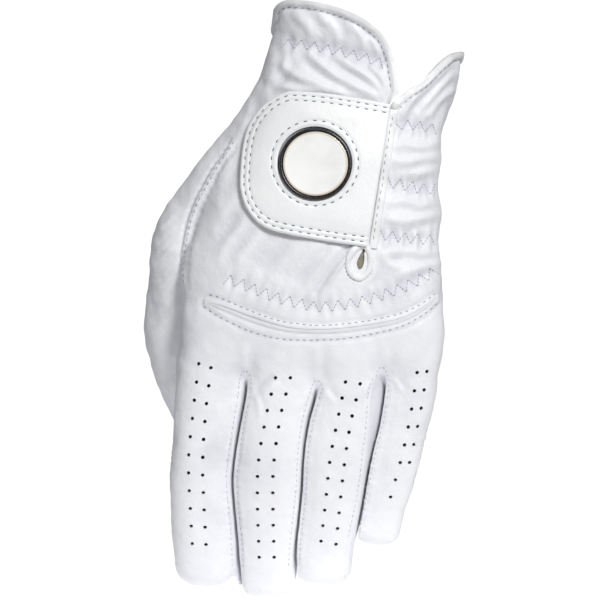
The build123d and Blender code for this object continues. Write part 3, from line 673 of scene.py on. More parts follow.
def edge_relief(relief):
    """The turned hem, the turned lips of the crescent, and the seams beside the finger gaps."""
    from_rim = rim_distance(V)
    bead = np.sqrt(np.clip(1 - ((from_rim - 1.15) / 1.45) ** 2, 0, 1))
    relief += (0.8 * bead - 0.42 * ridge(from_rim, 3.0, 0.6)) * (z > -30)
    from_lips = outline_distance(x, z, LIPS)
    relief += (0.28 * ridge(from_lips, 0.5, 0.8) - 0.3 * ridge(from_lips, 2.2, 0.8)) * backness
    for name in GAPS:
        room = gap_room(V, name)
        below_crotch = ease((gap_lines[name][0, 1] - z) / 4)
        for side in (-1, 1):
            off = room * side
            draw = 0.16 * ridge(off, 2.4, 0.9) - 0.30 * ridge(off, 1.2, 0.5)
            draw -= 0.14 * np.sin(z * 2 * math.pi / 3.1 + side) * ridge(off, 1.8, 1.2)
            relief += draw * below_crotch * (off > -0.5)


def joint_relief(relief):
    """Creases across the finger joints, deeper on the palm side."""
    for middle_z, left_x, right_x in JOINT_CREASES.values():
        mask = (x > left_x) & (x < right_x)
        for k, dz in enumerate((-5.2, -2.4, 0.2, 2.9, 5.6)):
            off = z - (middle_z + dz) - 0.5 * np.sin((x - left_x) * 0.35 + k)
            depth = (0.10 + 0.28 * (1 - backness)) * (1 if k % 2 else 0.7)
            relief -= mask * depth * ridge(off, 0, 0.7)


def flattened(relief):
    """The relief, less on the walls between fingers, so that they clear each other, and under the tab."""
    for name in GAPS:
        off, half_width = from_gap(x, y, z, name)
        facing_gap = ease(np.abs(N[:, 0]) * 1.6) * (1 - ease((np.abs(off) - half_width) / 1.6))
        relief = relief * (1 - facing_gap * ease((gap_lines[name][0, 1] + 1 - z) / 2))
    under_tab = ease(-outline_distance(x, z, TAB_EDGE) / 5.0) * backness
    return relief * (1 - 0.9 * under_tab) - 0.15 * under_tab


N = gradient(field, V)[0]
x, y, z = V.T
backness = on_back(V)
relief = waves(V, 26, seed=2) * 0.28 + waves(V, 11, seed=3) * 0.12 + waves(V, 5, seed=4) * 0.05
relief *= 1 - 0.45 * ease((-150 - z) / 30)
for add_relief in (elastic_relief, fold_relief, thumb_relief, edge_relief, joint_relief):
    add_relief(relief)
relief = flattened(relief)
V = V + N * relief[:, None]
N = vertex_normals(V, T)
# painted shade: how deep the leather sinks in its relief, kept on the pieces to darken their colour in folds,
# creases and seams
hollow_shade = np.clip(-relief, 0, 1)
skin_tree = BVHTree.FromPolygons(V.tolist(), T.tolist())


def drop(xz, side=-1):
    """Point and outward normal of the leather at X and Z, on the back (side -1) or the palm (side 1)."""
    x_at, z_at = float(xz[0]), float(xz[1])
    hit, normal, _, _ = skin_tree.ray_cast(Vector((x_at, 80.0 * side, z_at)), Vector((0, -side, 0)))
    if hit is None:
        hit, normal, _, _ = skin_tree.find_nearest(Vector((x_at, 0.0, z_at)))
    return np.array(hit), np.array(normal)


def drop_on_palm(xz):
    return drop(xz, 1)


# ---- cutting
OUTSIDE = -9.0  # what the tests below say well away from what they look for


def cut(verts, tris, labels, extra, test):
    """Splits triangles along the zero line of test(points), so that each lies wholly on one side of it."""
    value = test(verts)
    value = np.where(np.abs(value) < 1e-5, 1e-5, value)
    plus = value > 0
    marks = plus[tris]
    mixed = (marks.sum(1) == 1) | (marks.sum(1) == 2)
    if not mixed.any():
        return verts, tris, labels, extra, marks[:, 0]
    split = tris[mixed]
    lone_sign = marks[mixed].sum(1) == 1
    lone = np.argmax(marks[mixed] == lone_sign[:, None], axis=1)
    rows = np.arange(len(split))
    a, b, c = split[rows, lone], split[rows, (lone + 1) % 3], split[rows, (lone + 2) % 3]
    pairs = np.sort(np.vstack([np.stack([a, b], 1), np.stack([a, c], 1)]), axis=1)
    keys, back_to = np.unique(pairs, axis=0, return_inverse=True)
    back_to = back_to.ravel()
    one, other = keys.T
    way = verts[other] - verts[one]
    low_end, high_end = np.zeros(len(keys)), np.ones(len(keys))
    t = value[one] / (value[one] - value[other])
    for _ in range(5):
        same = (test(verts[one] + t[:, None] * way) > 0) == plus[one]
        low_end, high_end = np.where(same, t, low_end), np.where(same, high_end, t)
        t = (low_end + high_end) / 2
    t = np.clip(t, 0.03, 0.97)
    first = len(verts)
    verts = np.vstack([verts, verts[one] + t[:, None] * way])
    extra = [np.concatenate([e, (e[one].T * (1 - t) + e[other].T * t).T]) for e in extra]
    ab, ac = first + back_to[:len(split)], first + back_to[len(split):]
    parts = [np.stack([a, ab, ac], 1), np.stack([ab, b, c], 1), np.stack([ab, c, ac], 1)]
    tris = np.vstack([tris[~mixed]] + parts)
    labels = np.concatenate([labels[~mixed]] + [labels[mixed]] * 3)
    sides = np.concatenate([marks[~mixed][:, 0], lone_sign, ~lone_sign, ~lone_sign])
    return verts, tris, labels, extra, sides


def over_rims(p):
    """Above 0 past the cuff's rim, which the back and the palm have at different heights."""
    b = on_back(p)
    past_back = -outline_distance(p[:, 0], p[:, 2], OVER_BACK)
    past_palm = -outline_distance(p[:, 0], p[:, 2], OVER_PALM)
    return np.where(p[:, 2] > -32, b * past_back + (1 - b) * past_palm, OUTSIDE)


def in_openings(p):
    """Above 0 in the slit, the teardrop and the crescent, on the back."""
    slit = 0.5 - to_line(p[:, 0], p[:, 2], SLIT)[0]
    teardrop = -outline_distance(p[:, 0], p[:, 2], TEARDROP)
    crescent = -outline_distance(p[:, 0], p[:, 2], LIPS)
    return np.where(on_back(p) > 0.5, np.maximum(np.maximum(slit, teardrop), crescent), OUTSIDE)


def in_holes(p):
    """Above 0 in an air hole."""
    out = np.full(len(p), OUTSIDE)
    low = np.flatnonzero((p[:, 2] < -110) & (on_back(p) > 0.6))
    for hole_x, hole_z in hole_at:
        near = low[(np.abs(p[low, 0] - hole_x) < 3) & (np.abs(p[low, 2] - hole_z) < 3)]
        out[near] = np.maximum(out[near], HOLE_R - np.hypot(p[near, 0] - hole_x, p[near, 2] - hole_z))
    return out


RING_Z = -131.0  # below it the skin belongs to the fingers
THUMB_LEAD = 12.0  # the thumb's end starts this far before its joint
thumb_joint = np.array(joints["thumb_bend"]["pos_m"]) / MM
thumb_in = np.array([-0.03, 0.235, -0.971])  # ways of the thumb before and after its joint
thumb_out = np.array([0.26, 0.345, -0.902])
HAND_EDGE = [(-46, 0, -70, 13, 17), (-48.4, -2, -90, 12, 15)] + DIGITS["index"]
THUMB_HALVES = ([30, 57, 72, 86, 98, 108.5, 124, 139], [11, 13, 14.4, 16.4, 20, 22.5, 27.8, 34])


def nearer_thumb(p):
    """Above 0 on the thumb rather than on the hand or the index finger."""
    spots = [p[:, k] for k in range(3)]
    return digit_field(HAND_EDGE, spots, 2.5) - digit_field(DIGITS["thumb"], spots)


def past_thumb_joint(p):
    """Above 0 where the thumb bends with its joint."""
    past = (p - thumb_joint) @ thumb_in + THUMB_LEAD
    return np.minimum(past, np.where(p[:, 0] < -45, nearer_thumb(p), OUTSIDE))


def behind_thumb(p):
    """Above 0 on the palm half of the thumb."""
    return p[:, 1] - np.interp(-p[:, 2], *THUMB_HALVES)


def behind_middle(p):
    """Above 0 on the palm half of the hand and the fingers."""
    return p[:, 1] - np.interp(p[:, 2], KNUCKLE_Z, MIDDLE_Y)


def in_thumb_patch(p):
    """Above 0 on the leather set in round the root of the thumb."""
    in_back = -outline_distance(p[:, 0], p[:, 2], THUMB_BACK)
    in_palm = -outline_distance(p[:, 0], p[:, 2], THUMB_PALM)
    inside = np.where(behind_thumb(p) > 0, in_palm, in_back)
    return np.where(p[:, 2] < -86, np.minimum(inside, nearer_thumb(p)), inside)


def past_hem(p):
    """Above 0 within the turned hem along the rims."""
    return np.where(p[:, 2] > -34, 2.75 - rim_distance(p), OUTSIDE)


# Labels of the skin: the tens are the part of the glove, and the units are 0 back, 1 side wall, 2 palm.
HAND, INDEX, MIDDLE, RING, LITTLE, THUMB_END, THUMB_ROOT, HEM, WEB = range(0, 90, 10)
SIDE_WALL, PALM = 1, 2
labels = np.zeros(len(T), int)
extra = [N, hollow_shade]


def split_skin(test):
    """Cuts the skin along the zero line of a test, and says which triangles are above 0."""
    global V, T, labels, extra
    V, T, labels, extra, sides = cut(V, T, labels, extra, test)
    return sides


def relabel(test, owners, change):
    """Adds to the labels of some parts of the skin where a test is above 0."""
    sides = split_skin(test)
    labels[sides & np.isin(labels, owners)] += change


for test in (over_rims, in_openings, in_holes):
    gone = split_skin(test)
    T, labels = T[~gone], labels[~gone]
relabel(past_thumb_joint, [HAND], THUMB_END)
relabel(in_thumb_patch, [HAND], THUMB_ROOT)
below_ring = split_skin(lambda p: RING_Z - p[:, 2])
finger = below_ring & (labels == HAND)
middle_of = V[T].mean(axis=1)
gaps_passed = sum((from_gap(*middle_of.T, name)[0] > 0).astype(int) for name in GAPS)
labels[finger] = INDEX * (gaps_passed[finger] + 1)
# the side walls sewn between the fingers, and the web at their roots
for k, name in enumerate(GAPS):
    for side, owner in ((-1, INDEX * (k + 1)), (1, INDEX * (k + 2))):
        relabel(lambda p: 0.6 - gap_room(p, name) * side, [owner], SIDE_WALL)
    web_top = gap_lines[name][0, 1] + 1.0
    relabel(lambda p: np.minimum(1.0 - np.abs(gap_room(p, name)), web_top - p[:, 2]), [HAND], WEB)
relabel(past_hem, [HAND], HEM)
relabel(behind_thumb, [THUMB_END, THUMB_ROOT], PALM)
relabel(behind_middle, [HAND, INDEX, MIDDLE, RING, LITTLE, HEM], PALM)
N, hollow_shade = extra
N = N / (np.linalg.norm(N, axis=1, keepdims=True) + 1e-12)


# ---- materials
def shade(r, g, b):
    """Linear colour from sRGB values between 11 and 255."""
    return tuple(((c / 255 + 0.055) / 1.055) ** 2.4 for c in (r, g, b)) + (1.0,)


class Look:
    """A material, with short ways to build its nodes in the coordinates of its object."""

    def __init__(self, name):
        self.material = bpy.data.materials.new(name)
        self.material.use_nodes = True
        self.tree = self.material.node_tree
        self.at = self.node("TexCoord", {}).outputs["Object"]

    def plug(self, made, inputs):
        """Links or sets the inputs of a node."""
        for key, value in inputs.items():
            if isinstance(value, bpy.types.NodeSocket):
                self.tree.links.new(value, made.inputs[key])
            else:
                made.inputs[key].default_value = value

    def node(self, kind, inputs, **settings):
        made = self.tree.nodes.new("ShaderNode" + kind)
        for key, value in settings.items():
            setattr(made, key, value)
        self.plug(made, inputs)
        return made

    def noise(self, scale, detail=3.0, rough=0.5):
        inputs = {"Vector": self.at, "Scale": scale, "Detail": detail, "Roughness": rough}
        return self.node("TexNoise", inputs).outputs["Fac"]

    def wave(self, scale, distortion, detail, way):
        inputs = {"Vector": self.at, "Scale": scale, "Distortion": distortion, "Detail": detail}
        return self.node("TexWave", inputs, bands_direction=way).outputs["Fac"]

    def ranged(self, value, a, b, c=0.0, d=1.0):
        """A value with its range a to b made c to d."""
        inputs = {"Value": value, "From Min": a, "From Max": b, "To Min": c, "To Max": d}
        return self.node("MapRange", inputs).outputs["Result"]

    def mixed(self, fac, a, b):
        return self.node("Mix", {0: fac, 6: a, 7: b}, data_type="RGBA").outputs[2]

    def summed(self, *values):
        total = values[0]
        for value in values[1:]:
            total = self.node("Math", {0: total, 1: value}, operation="ADD").outputs[0]
        return total

    def bump(self, height, distance, strength, under=None):
        inputs = {"Height": height, "Distance": distance, "Strength": strength}
        if under is not None:
            inputs["Normal"] = under
        return self.node("Bump", inputs).outputs["Normal"]

    def finished(self, colour, rough, **others):
        """The material, with its shader's other sockets given by their names in lower case."""
        inputs = {key.replace("_", " ").title(): value for key, value in others.items()}
        self.plug(self.tree.nodes["Principled BSDF"], {"Base Color": colour, "Roughness": rough, **inputs})
        return self.material


def leather(name, light, dark, rough=(0.42, 0.56), grain=0.55, creases=0.5):
    """Fine-grained glove leather, greyer at random and with painted shade in its hollows, with soft wrinkles
    and a slightly uneven gloss.
    """
    look = Look(name)
    cloud = look.noise(240.0, 4.0, 0.6)
    painted_hollow_shade = look.node("Attribute", {}, attribute_name="hollow_shade").outputs["Fac"]
    # random tone, plus painted shade that turns the leather greyer in its folds, creases and seams
    tone_and_painted_shade = look.summed(look.ranged(look.noise(34.0, 4.0), 0.35, 0.75, 0.0, 0.30),
                         look.ranged(cloud, 0.45, 0.75, 0.0, 0.14),
                         look.ranged(painted_hollow_shade, 0.15, 0.9, 0.0, 0.45))
    inputs = {"Vector": look.at, "Scale": 1350.0, "Randomness": 0.95}
    cells = look.node("TexVoronoi", inputs, feature="DISTANCE_TO_EDGE").outputs["Distance"]
    normal = look.bump(look.ranged(cells, 0.0, 0.22), 0.00004, grain)
    normal = look.bump(look.noise(620.0, 3.0, 0.55), 0.00022, grain, normal)
    normal = look.bump(look.noise(150.0, 5.0, 0.62), 0.0010, creases, normal)
    return look.finished(look.mixed(tone_and_painted_shade, light, dark), look.ranged(cloud, 0.3, 0.7, *rough),
                         normal=normal, sheen_weight=0.12, sheen_roughness=0.45)


def suede(name, light, dark):
    """The rough inner face of the leather."""
    look = Look(name)
    fibres = look.noise(1100.0, 5.0, 0.7)
    cloud = look.noise(90.0)
    fac = look.summed(look.ranged(fibres, 0.3, 0.7, 0.0, 0.6), look.ranged(cloud, 0.3, 0.7, 0.0, 0.4))
    normal = look.bump(fibres, 0.0003, 0.7)
    return look.finished(look.mixed(fac, light, dark), 0.92, normal=normal, sheen_weight=0.3)


def thread(name, light, dark):
    """Twisted sewing thread."""
    look = Look(name)
    twist = look.wave(700.0, 2.0, 1.0, "DIAGONAL")
    colour = look.mixed(look.ranged(twist, 0.2, 0.8), light, dark)
    return look.finished(colour, 0.6, normal=look.bump(twist, 0.00006, 0.8))


def knitted(name, light, dark, scale, depth, sheen=0.2):
    """Ribbed or looped fabric: elastic, stretch cloth, loop pile and hook tape."""
    look = Look(name)
    weave = look.summed(look.wave(scale, 1.2, 2.0, "Z"), look.wave(scale * 1.3, 1.5, 1.0, "X"),
                        look.noise(scale * 6, 4.0, 0.7))
    colour = look.mixed(look.ranged(weave, 0.5, 2.2), dark, light)
    return look.finished(colour, 0.85, normal=look.bump(weave, depth, 0.8), sheen_weight=sheen)


def enamel(name, low, high):
    """The off-white face of the ball marker, turning warm beige towards its rim, for a box in metres."""
    look = Look(name)
    inputs = {0: look.at, 1: tuple((np.array(low) + np.array(high)) / 2)}
    away = look.node("VectorMath", inputs, operation="DISTANCE").outputs["Value"]
    cloud = look.noise(130.0, 5.0, 0.6)
    face = look.mixed(look.ranged(cloud, 0.4, 0.7), shade(253, 253, 250), shade(240, 240, 236))
    colour = look.mixed(look.ranged(away, 0.0113, 0.0119, 0.0, 0.85), face, shade(214, 196, 172))
    return look.finished(colour, look.ranged(cloud, 0.35, 0.7, 0.22, 0.34), coat_weight=0.35,
                         normal=look.bump(cloud, 0.0001, 0.25))


def plastic(name, light, dark):
    """Glossy moulded plastic with faint scratches."""
    look = Look(name)
    cloud = look.noise(700.0, 4.0, 0.6)
    colour = look.mixed(look.ranged(cloud, 0.45, 0.8), light, dark)
    return look.finished(colour, look.ranged(cloud, 0.3, 0.7, 0.18, 0.34),
                         normal=look.bump(cloud, 0.00006, 0.3))


def steel(name, light, dark):
    """Brushed steel."""
    look = Look(name)
    brushed = look.noise(900.0, 3.0, 0.6)
    return look.finished(look.mixed(brushed, light, dark), look.ranged(brushed, 0.3, 0.7, 0.26, 0.42),
                         normal=look.bump(brushed, 0.00003, 0.3), metallic=1.0)


skin_mat = leather("white_cabretta", shade(244, 244, 246), shade(216, 217, 223))
palm_mat = leather("palm_cabretta", shade(244, 244, 245), shade(208, 209, 216), (0.46, 0.62), 0.7, 0.7)
wall_mat = leather("finger_wall_leather", shade(243, 243, 246), shade(208, 210, 219), grain=0.5, creases=0.35)
tab_mat = leather("tab_leather", shade(250, 251, 250), shade(226, 230, 232), (0.36, 0.46), 0.45, 0.16)
bind_mat = leather("binding_leather", shade(246, 246, 246), shade(216, 216, 220), (0.4, 0.5), creases=0.25)
# the inside's grey is partly the raw suede's own colour and partly painted shade, to keep the glove's inside
# dark through the air holes and openings
suede_with_painted_shade_mat = suede("suede_side_painted_shade", shade(196, 192, 184), shade(150, 146, 138))
edge_mat = suede("cut_edge", shade(226, 224, 220), shade(196, 193, 188))
lining_mat = suede("tab_lining", shade(236, 236, 234), shade(206, 205, 202))
warm_mat = suede("warm_lining", shade(176, 168, 148), shade(128, 121, 104))
thread_mat = thread("slate_thread", shade(136, 142, 160), shade(96, 102, 122))
fine_mat = thread("fine_thread", shade(176, 182, 198), shade(138, 145, 166))
pale_mat = thread("pale_thread", shade(206, 211, 224), shade(172, 180, 200))
elastic_mat = knitted("ribbed_elastic", shade(235, 235, 235), shade(190, 190, 192), 520.0, 0.0003)
stretch_mat = knitted("stretch_cloth", shade(248, 248, 250), shade(228, 229, 234), 900.0, 0.00004)
loop_mat = knitted("loop_pile", shade(240, 240, 240), shade(186, 186, 190), 420.0, 0.0006, sheen=0.5)
hook_mat = knitted("hook_tape", shade(228, 228, 230), shade(160, 160, 166), 640.0, 0.0006)
enamel_mat = enamel("marker_enamel_face", *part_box("ball_marker"))
plastic_mat = plastic("black_cup_plastic", shade(26, 24, 30), shade(54, 51, 58))
magnet_mat = steel("magnet_steel", shade(196, 198, 204), shade(120, 124, 132))
notch_mat = steel("notch_steel", shade(206, 210, 216), shade(120, 124, 132))
magnet = frame["nodes"]["magnet"]
magnet.data.materials.clear()
magnet.data.materials.append(magnet_mat)


# ---- mesh pieces
def make_piece(name, verts, faces, mats, mat_index=None, corner_normals=None, shadow=None, sharp=None):
    """A Blender object from vertices in millimetres."""
    mesh = bpy.data.meshes.new(name)
    mesh.from_pydata((np.asarray(verts) * MM).tolist(), [], [list(map(int, f)) for f in faces])
    for m in mats:
        mesh.materials.append(m)
    if mat_index is not None:
        mesh.polygons.foreach_set("material_index", np.asarray(mat_index, np.int32))
    mesh.polygons.foreach_set("use_smooth", np.ones(len(mesh.polygons), bool))
    # painted shade in the hollows, kept as a point attribute for the leather's colour
    if shadow is not None:
        values = mesh.attributes.new("hollow_shade", "FLOAT", "POINT").data
        values.foreach_set("value", np.asarray(shadow, np.float32))
    mesh.update()
    if corner_normals is not None:
        mesh.normals_split_custom_set(corner_normals.tolist())
    elif sharp is not None:
        mesh.set_sharp_from_angle(angle=math.radians(sharp))
    piece = bpy.data.objects.new(name, mesh)
    bpy.context.scene.collection.objects.link(piece)
    return piece


def fitted(piece, body, slot_name, *nodes, fold=None):
    """Puts a piece on a body, or, given a fold, only bakes its place into its mesh; then hides the CAD nodes
    that it replaces.
    """
    if fold is None:
        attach(piece, body)
    else:
        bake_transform(piece)
    if nodes:
        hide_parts(*nodes)


def sheet_faces(tris, count):
    """Faces between a surface and the same one count vertices further on, and the number in their rim."""
    edges = np.vstack([tris[:, [0, 1]], tris[:, [1, 2]], tris[:, [2, 0]]])
    _, first, uses = np.unique(np.sort(edges, axis=1), axis=0, return_index=True, return_counts=True)
    a, b = edges[first[uses == 1]].T
    rim = [np.stack([b, a, a + count], 1), np.stack([b, a + count, b + count], 1)]
    return np.vstack([tris, tris[:, ::-1] + count] + rim), 2 * len(a)


def leather_piece(name, chosen, outer):
    """The pieces of skin with the chosen labels, as leather with a suede inside and cut edges."""
    used, tris = np.unique(T[np.isin(labels, chosen)], return_inverse=True)
    tris = tris.reshape(-1, 3)
    p, n, h = V[used], N[used], hollow_shade[used]
    faces, rim = sheet_faces(tris, len(p))
    mat_index = np.repeat([0, 1, 2], [len(tris), len(tris), rim])
    normals = np.zeros((len(faces) * 3, 3))
    normals[:len(tris) * 3] = n[tris.ravel()]
    normals[len(tris) * 3:len(tris) * 6] = -n[tris[:, ::-1].ravel()]
    verts = np.vstack([p, p - n * WALL])
    return make_piece(name, verts, faces, [outer, suede_with_painted_shade_mat, edge_mat], mat_index, normals, np.r_[h, h])


# ---- stitches
THREAD_SIDES = 6
# Where the rings of a thread are along it, how high they stand in its arch, and how thick it is there.
THREAD_RINGS = ((0.0, -0.8, 0.7), (0.12, 0.35, 1.0), (0.5, 1.0, 1.0), (0.88, 0.35, 1.0), (1.0, -0.8, 0.7))


def stitch_mesh(a, b, na, nb, radius, arch):
    """Small arched threads between two sets of points; each thread dips into the leather at both ends."""
    along = b - a
    length = np.linalg.norm(along, axis=1, keepdims=True) + 1e-9
    along = along / length
    rings = []
    for t, height, fat in THREAD_RINGS:
        normal = na * (1 - t) + nb * t
        normal /= np.linalg.norm(normal, axis=1, keepdims=True)
        side = np.cross(normal, along)
        side /= np.linalg.norm(side, axis=1, keepdims=True)
        middle = a + along * length * t + normal * arch * height
        for k in range(THREAD_SIDES):
            turn = 2 * math.pi * k / THREAD_SIDES
            rings.append(middle + radius * fat * (math.cos(turn) * side + math.sin(turn) * normal))
    verts = np.stack(rings, axis=1)
    count = len(rings)
    faces = []
    for start in range(0, count - THREAD_SIDES, THREAD_SIDES):
        for k in range(THREAD_SIDES):
            beside = (k + 1) % THREAD_SIDES
            corners = (k, k + THREAD_SIDES, beside + THREAD_SIDES, beside)
            faces.append([start + corner for corner in corners])
    faces += [range(THREAD_SIDES), range(count - 1, count - 1 - THREAD_SIDES, -1)]
    every = [[count * i + v for v in face] for i in range(len(verts)) for face in faces]
    return verts.reshape(-1, 3), every


def stitch_ends(lines, pitch, length, surface):
    """Ends and normals of stitches along lines in X and Z."""
    ends = []
    for line in lines:
        run = run_along(line)
        count = max(1, int(round(run[-1] / pitch)))
        for centre in (np.arange(count) + 0.5) * run[-1] / count:
            centre += rng.uniform(-0.04, 0.04) * pitch
            half = length / 2 * rng.uniform(0.92, 1.08)
            (pa, na), (pb, nb) = (surface(spot) for spot in points_at([centre - half, centre + half], line))
            if np.linalg.norm(pa - pb) < 3 * length:
                ends.append((pa, pb, na, nb))
    return np.array(ends).transpose(1, 0, 2)


def sew(name, lines, pitch, length, mat, radius=0.16, arch=0.12, surface=drop):
    verts, faces = stitch_mesh(*stitch_ends(lines, pitch, length, surface), radius, arch)
    return make_piece(name, verts, faces, [mat])


def zigzag(line, deep, pitch):
    """Legs of a zigzag along a line."""
    count = int(round(curve_length(line) / pitch * 2))
    spine = points_at(np.linspace(0, curve_length(line), count + 1), line)
    swing = deep * np.where(np.arange(count + 1) % 2, 1, -1)[:, None]
    corners = spine + swing * across(spine)
    return [corners[i:i + 2] for i in range(count)]


# ---- bands and flat pieces
def looped(rows, sides, closed):
    """Quads round and along a tube of rows, each of sides points."""
    faces = []
    for i in range(rows if closed else rows - 1):
        j = (i + 1) % rows
        for k in range(sides):
            beside = (k + 1) % sides
            faces.append((sides * i + k, sides * i + beside, sides * j + beside, sides * j + k))
    return faces


def strip(name, line, half, rise, mat, closed=False, base=0.0, foot=-0.35, bead=0.0):
    """A band on the back along a line in X and Z, half as wide on each side and rounded at its edges."""
    half_profile = [(-1.0, foot), (-1.0, 0.25), (-0.93, 0.72), (-0.78, 0.95), (-0.4, 1.0 + bead)]
    profile = half_profile + [(0, 1.0 + bead)] + [(-place, height) for place, height in half_profile[::-1]]
    verts = []
    for spot, way in zip(line, across(line, closed)):
        for place, height in profile:
            point, normal = drop(spot + way * half * place)
            verts.append(point + normal * (base + (height * rise if height > 0 else height)))
    sides = len(profile)
    faces = looped(len(line), sides, closed)
    if not closed:
        faces += [range(sides)[::-1], range(sides * (len(line) - 1), sides * len(line))]
    return make_piece(name, verts, faces, [mat], sharp=50)


def on_form(a, b):
    """Points and outward normals of the smooth back of the hand, at X and Z."""
    def height(a, b):
        power = np.interp(b, gz, square)
        out = np.clip(np.abs(a - np.interp(b, gz, cx)) / np.interp(b, gz, hx), 0, 0.995)
        return np.interp(b, gz, cy) - np.interp(b, gz, hy) * (1 - out**power) ** (1 / power)

    slope_x = height(a + 0.5, b) - height(a - 0.5, b)
    slope_z = height(a, b + 0.5) - height(a, b - 0.5)
    normals = np.stack([slope_x, -np.ones_like(slope_x), slope_z], axis=-1)
    return np.stack([a, height(a, b), b], axis=1), normals / np.linalg.norm(normals, axis=-1, keepdims=True)


def on_skin(a, b):
    """Points and outward normals of the leather on the back, at X and Z."""
    hits = [drop(spot) for spot in zip(a, b)]
    return np.array([hit[0] for hit in hits]), np.array([hit[1] for hit in hits])


def sheet(name, inside, box, top, bottom, mats, spacing, ground=on_form, sharp=48):
    """A flat piece within a box in X and Z, where inside(x, z) is above 0. Its top and bottom are heights
    over the ground, as numbers or functions of x and z."""
    (x0, z0), (x1, z1) = box
    xx, zz = np.meshgrid(np.arange(x0, x1, spacing), np.arange(z0, z1, spacing), indexing="ij")
    verts = np.stack([xx.ravel(), np.zeros(xx.size), zz.ravel()], axis=1)
    ids = np.arange(xx.size).reshape(xx.shape)
    a, b, c, d = ids[:-1, :-1].ravel(), ids[1:, :-1].ravel(), ids[1:, 1:].ravel(), ids[:-1, 1:].ravel()
    tris = np.vstack([np.stack([a, b, c], 1), np.stack([a, c, d], 1)])
    no_labels = np.zeros(len(tris), int)
    verts, tris, _, _, kept = cut(verts, tris, no_labels, [], lambda p: inside(p[:, 0], p[:, 2]))
    used, tris = np.unique(tris[kept], return_inverse=True)
    tris = tris.reshape(-1, 3)
    at = verts[used][:, 0], verts[used][:, 2]
    spots, normals = ground(*at)
    levels = [level(*at)[:, None] if callable(level) else level for level in (top, bottom)]
    layers = [spots + normals * level for level in levels]
    faces, rim = sheet_faces(tris, len(spots))
    mat_index = np.repeat([0, len(mats) - 1, 0], [len(tris), len(tris), rim])
    return make_piece(name, np.vstack(layers), faces, mats, mat_index, sharp=sharp)


def turned(name, profile, centre, axis, mat, segments=160):
    """A turned ring or disc about an axis, from a closed profile of radius and height."""
    axis = axis / np.linalg.norm(axis)
    start_way = np.array([1.0, 0.0, 0.0])
    side_way = np.cross(axis, start_way)
    verts = []
    for turn in np.linspace(0, 2 * math.pi, segments, endpoint=False):
        out_way = math.cos(turn) * start_way + math.sin(turn) * side_way
        verts += [centre + out_way * radius + axis * height for radius, height in profile]
    return make_piece(name, verts, looped(segments, len(profile), True), [mat], sharp=40)


# ---- skin pieces
BEND_HALF = 14.0  # a finger bends over this much on each side of its joint
THUMB_BEND_HALF = 11.5


def digit_fold(digit):
    """Where a digit's pieces start and end to bend."""
    if digit == "thumb":
        return thumb_joint - THUMB_BEND_HALF * thumb_in, thumb_joint + THUMB_BEND_HALF * thumb_out
    joint_z = joints[f"{digit}_bend"]["pos_m"][2] / MM
    return np.array([0, 0, min(joint_z + BEND_HALF, RING_Z - 4.0)]), np.array([0, 0, joint_z - BEND_HALF])


def bends(piece, digit, slot_name, *nodes):
    """Passes a finger or thumb piece to fitted with its digit's fold, which only bakes its place; the piece
    does not bend.
    """
    fitted(piece, f"{digit}_tip", slot_name, *nodes, fold=digit_fold(digit))


HAND_SKIN = (  # piece, label, leather, slot and the CAD node that it replaces
    ("back_of_hand", HAND, skin_mat, "leather", "back_panel"),
    ("palm_of_hand", HAND + PALM, palm_mat, "palm_leather", "palm_panel"),
    ("cuff_hem_on_back", HEM, bind_mat, "binding_leather", "cuff_hem_back"),
    ("cuff_hem_on_palm", HEM + PALM, bind_mat, "binding_leather", "cuff_hem_palm"),
    ("web_between_fingers", WEB, wall_mat, "fourchette_leather", "finger_web"),
    ("thumb_root_back", THUMB_ROOT, skin_mat, "leather", "thumb_back_base"),
    ("thumb_root_palm", THUMB_ROOT + PALM, palm_mat, "palm_leather", "thumb_palm_base"),
)
DIGIT_SKIN = [  # piece, labels, leather, digit, slot and the start of its CAD nodes' names
    ("thumb_end_back", [THUMB_END], skin_mat, "thumb", "leather", "thumb_back"),
    ("thumb_end_palm", [THUMB_END + PALM], palm_mat, "thumb", "palm_leather", "thumb_palm"),
    ("index_finger_wrap", [INDEX, INDEX + PALM], skin_mat, "index", "leather", "index_wrap"),
    ("index_finger_side_wall", [INDEX + SIDE_WALL], wall_mat, "index", "fourchette_leather",
     "index_fourchette"),
]
for digit, label in zip(FINGERS[1:], (MIDDLE, RING, LITTLE)):
    wall = "fourchette" if digit == "little" else "fourchettes"
    DIGIT_SKIN += [
        (f"{digit}_finger_back", [label], skin_mat, digit, "leather", f"{digit}_back"),
        (f"{digit}_finger_palm", [label + PALM], palm_mat, digit, "palm_leather", f"{digit}_palm"),
        (f"{digit}_finger_side_walls", [label + SIDE_WALL], wall_mat, digit, "fourchette_leather",
         f"{digit}_{wall}"),
    ]
for name, label, mat, slot_name, node_name in HAND_SKIN:
    fitted(leather_piece(name, [label], mat), "hand", slot_name, node_name)
for name, chosen, mat, digit, slot_name, node_name in DIGIT_SKIN:
    ends = ("tip",) if digit == "thumb" else ("base", "tip")
    bends(leather_piece(name, chosen, mat), digit, slot_name, *(f"{node_name}_{end}" for end in ends))

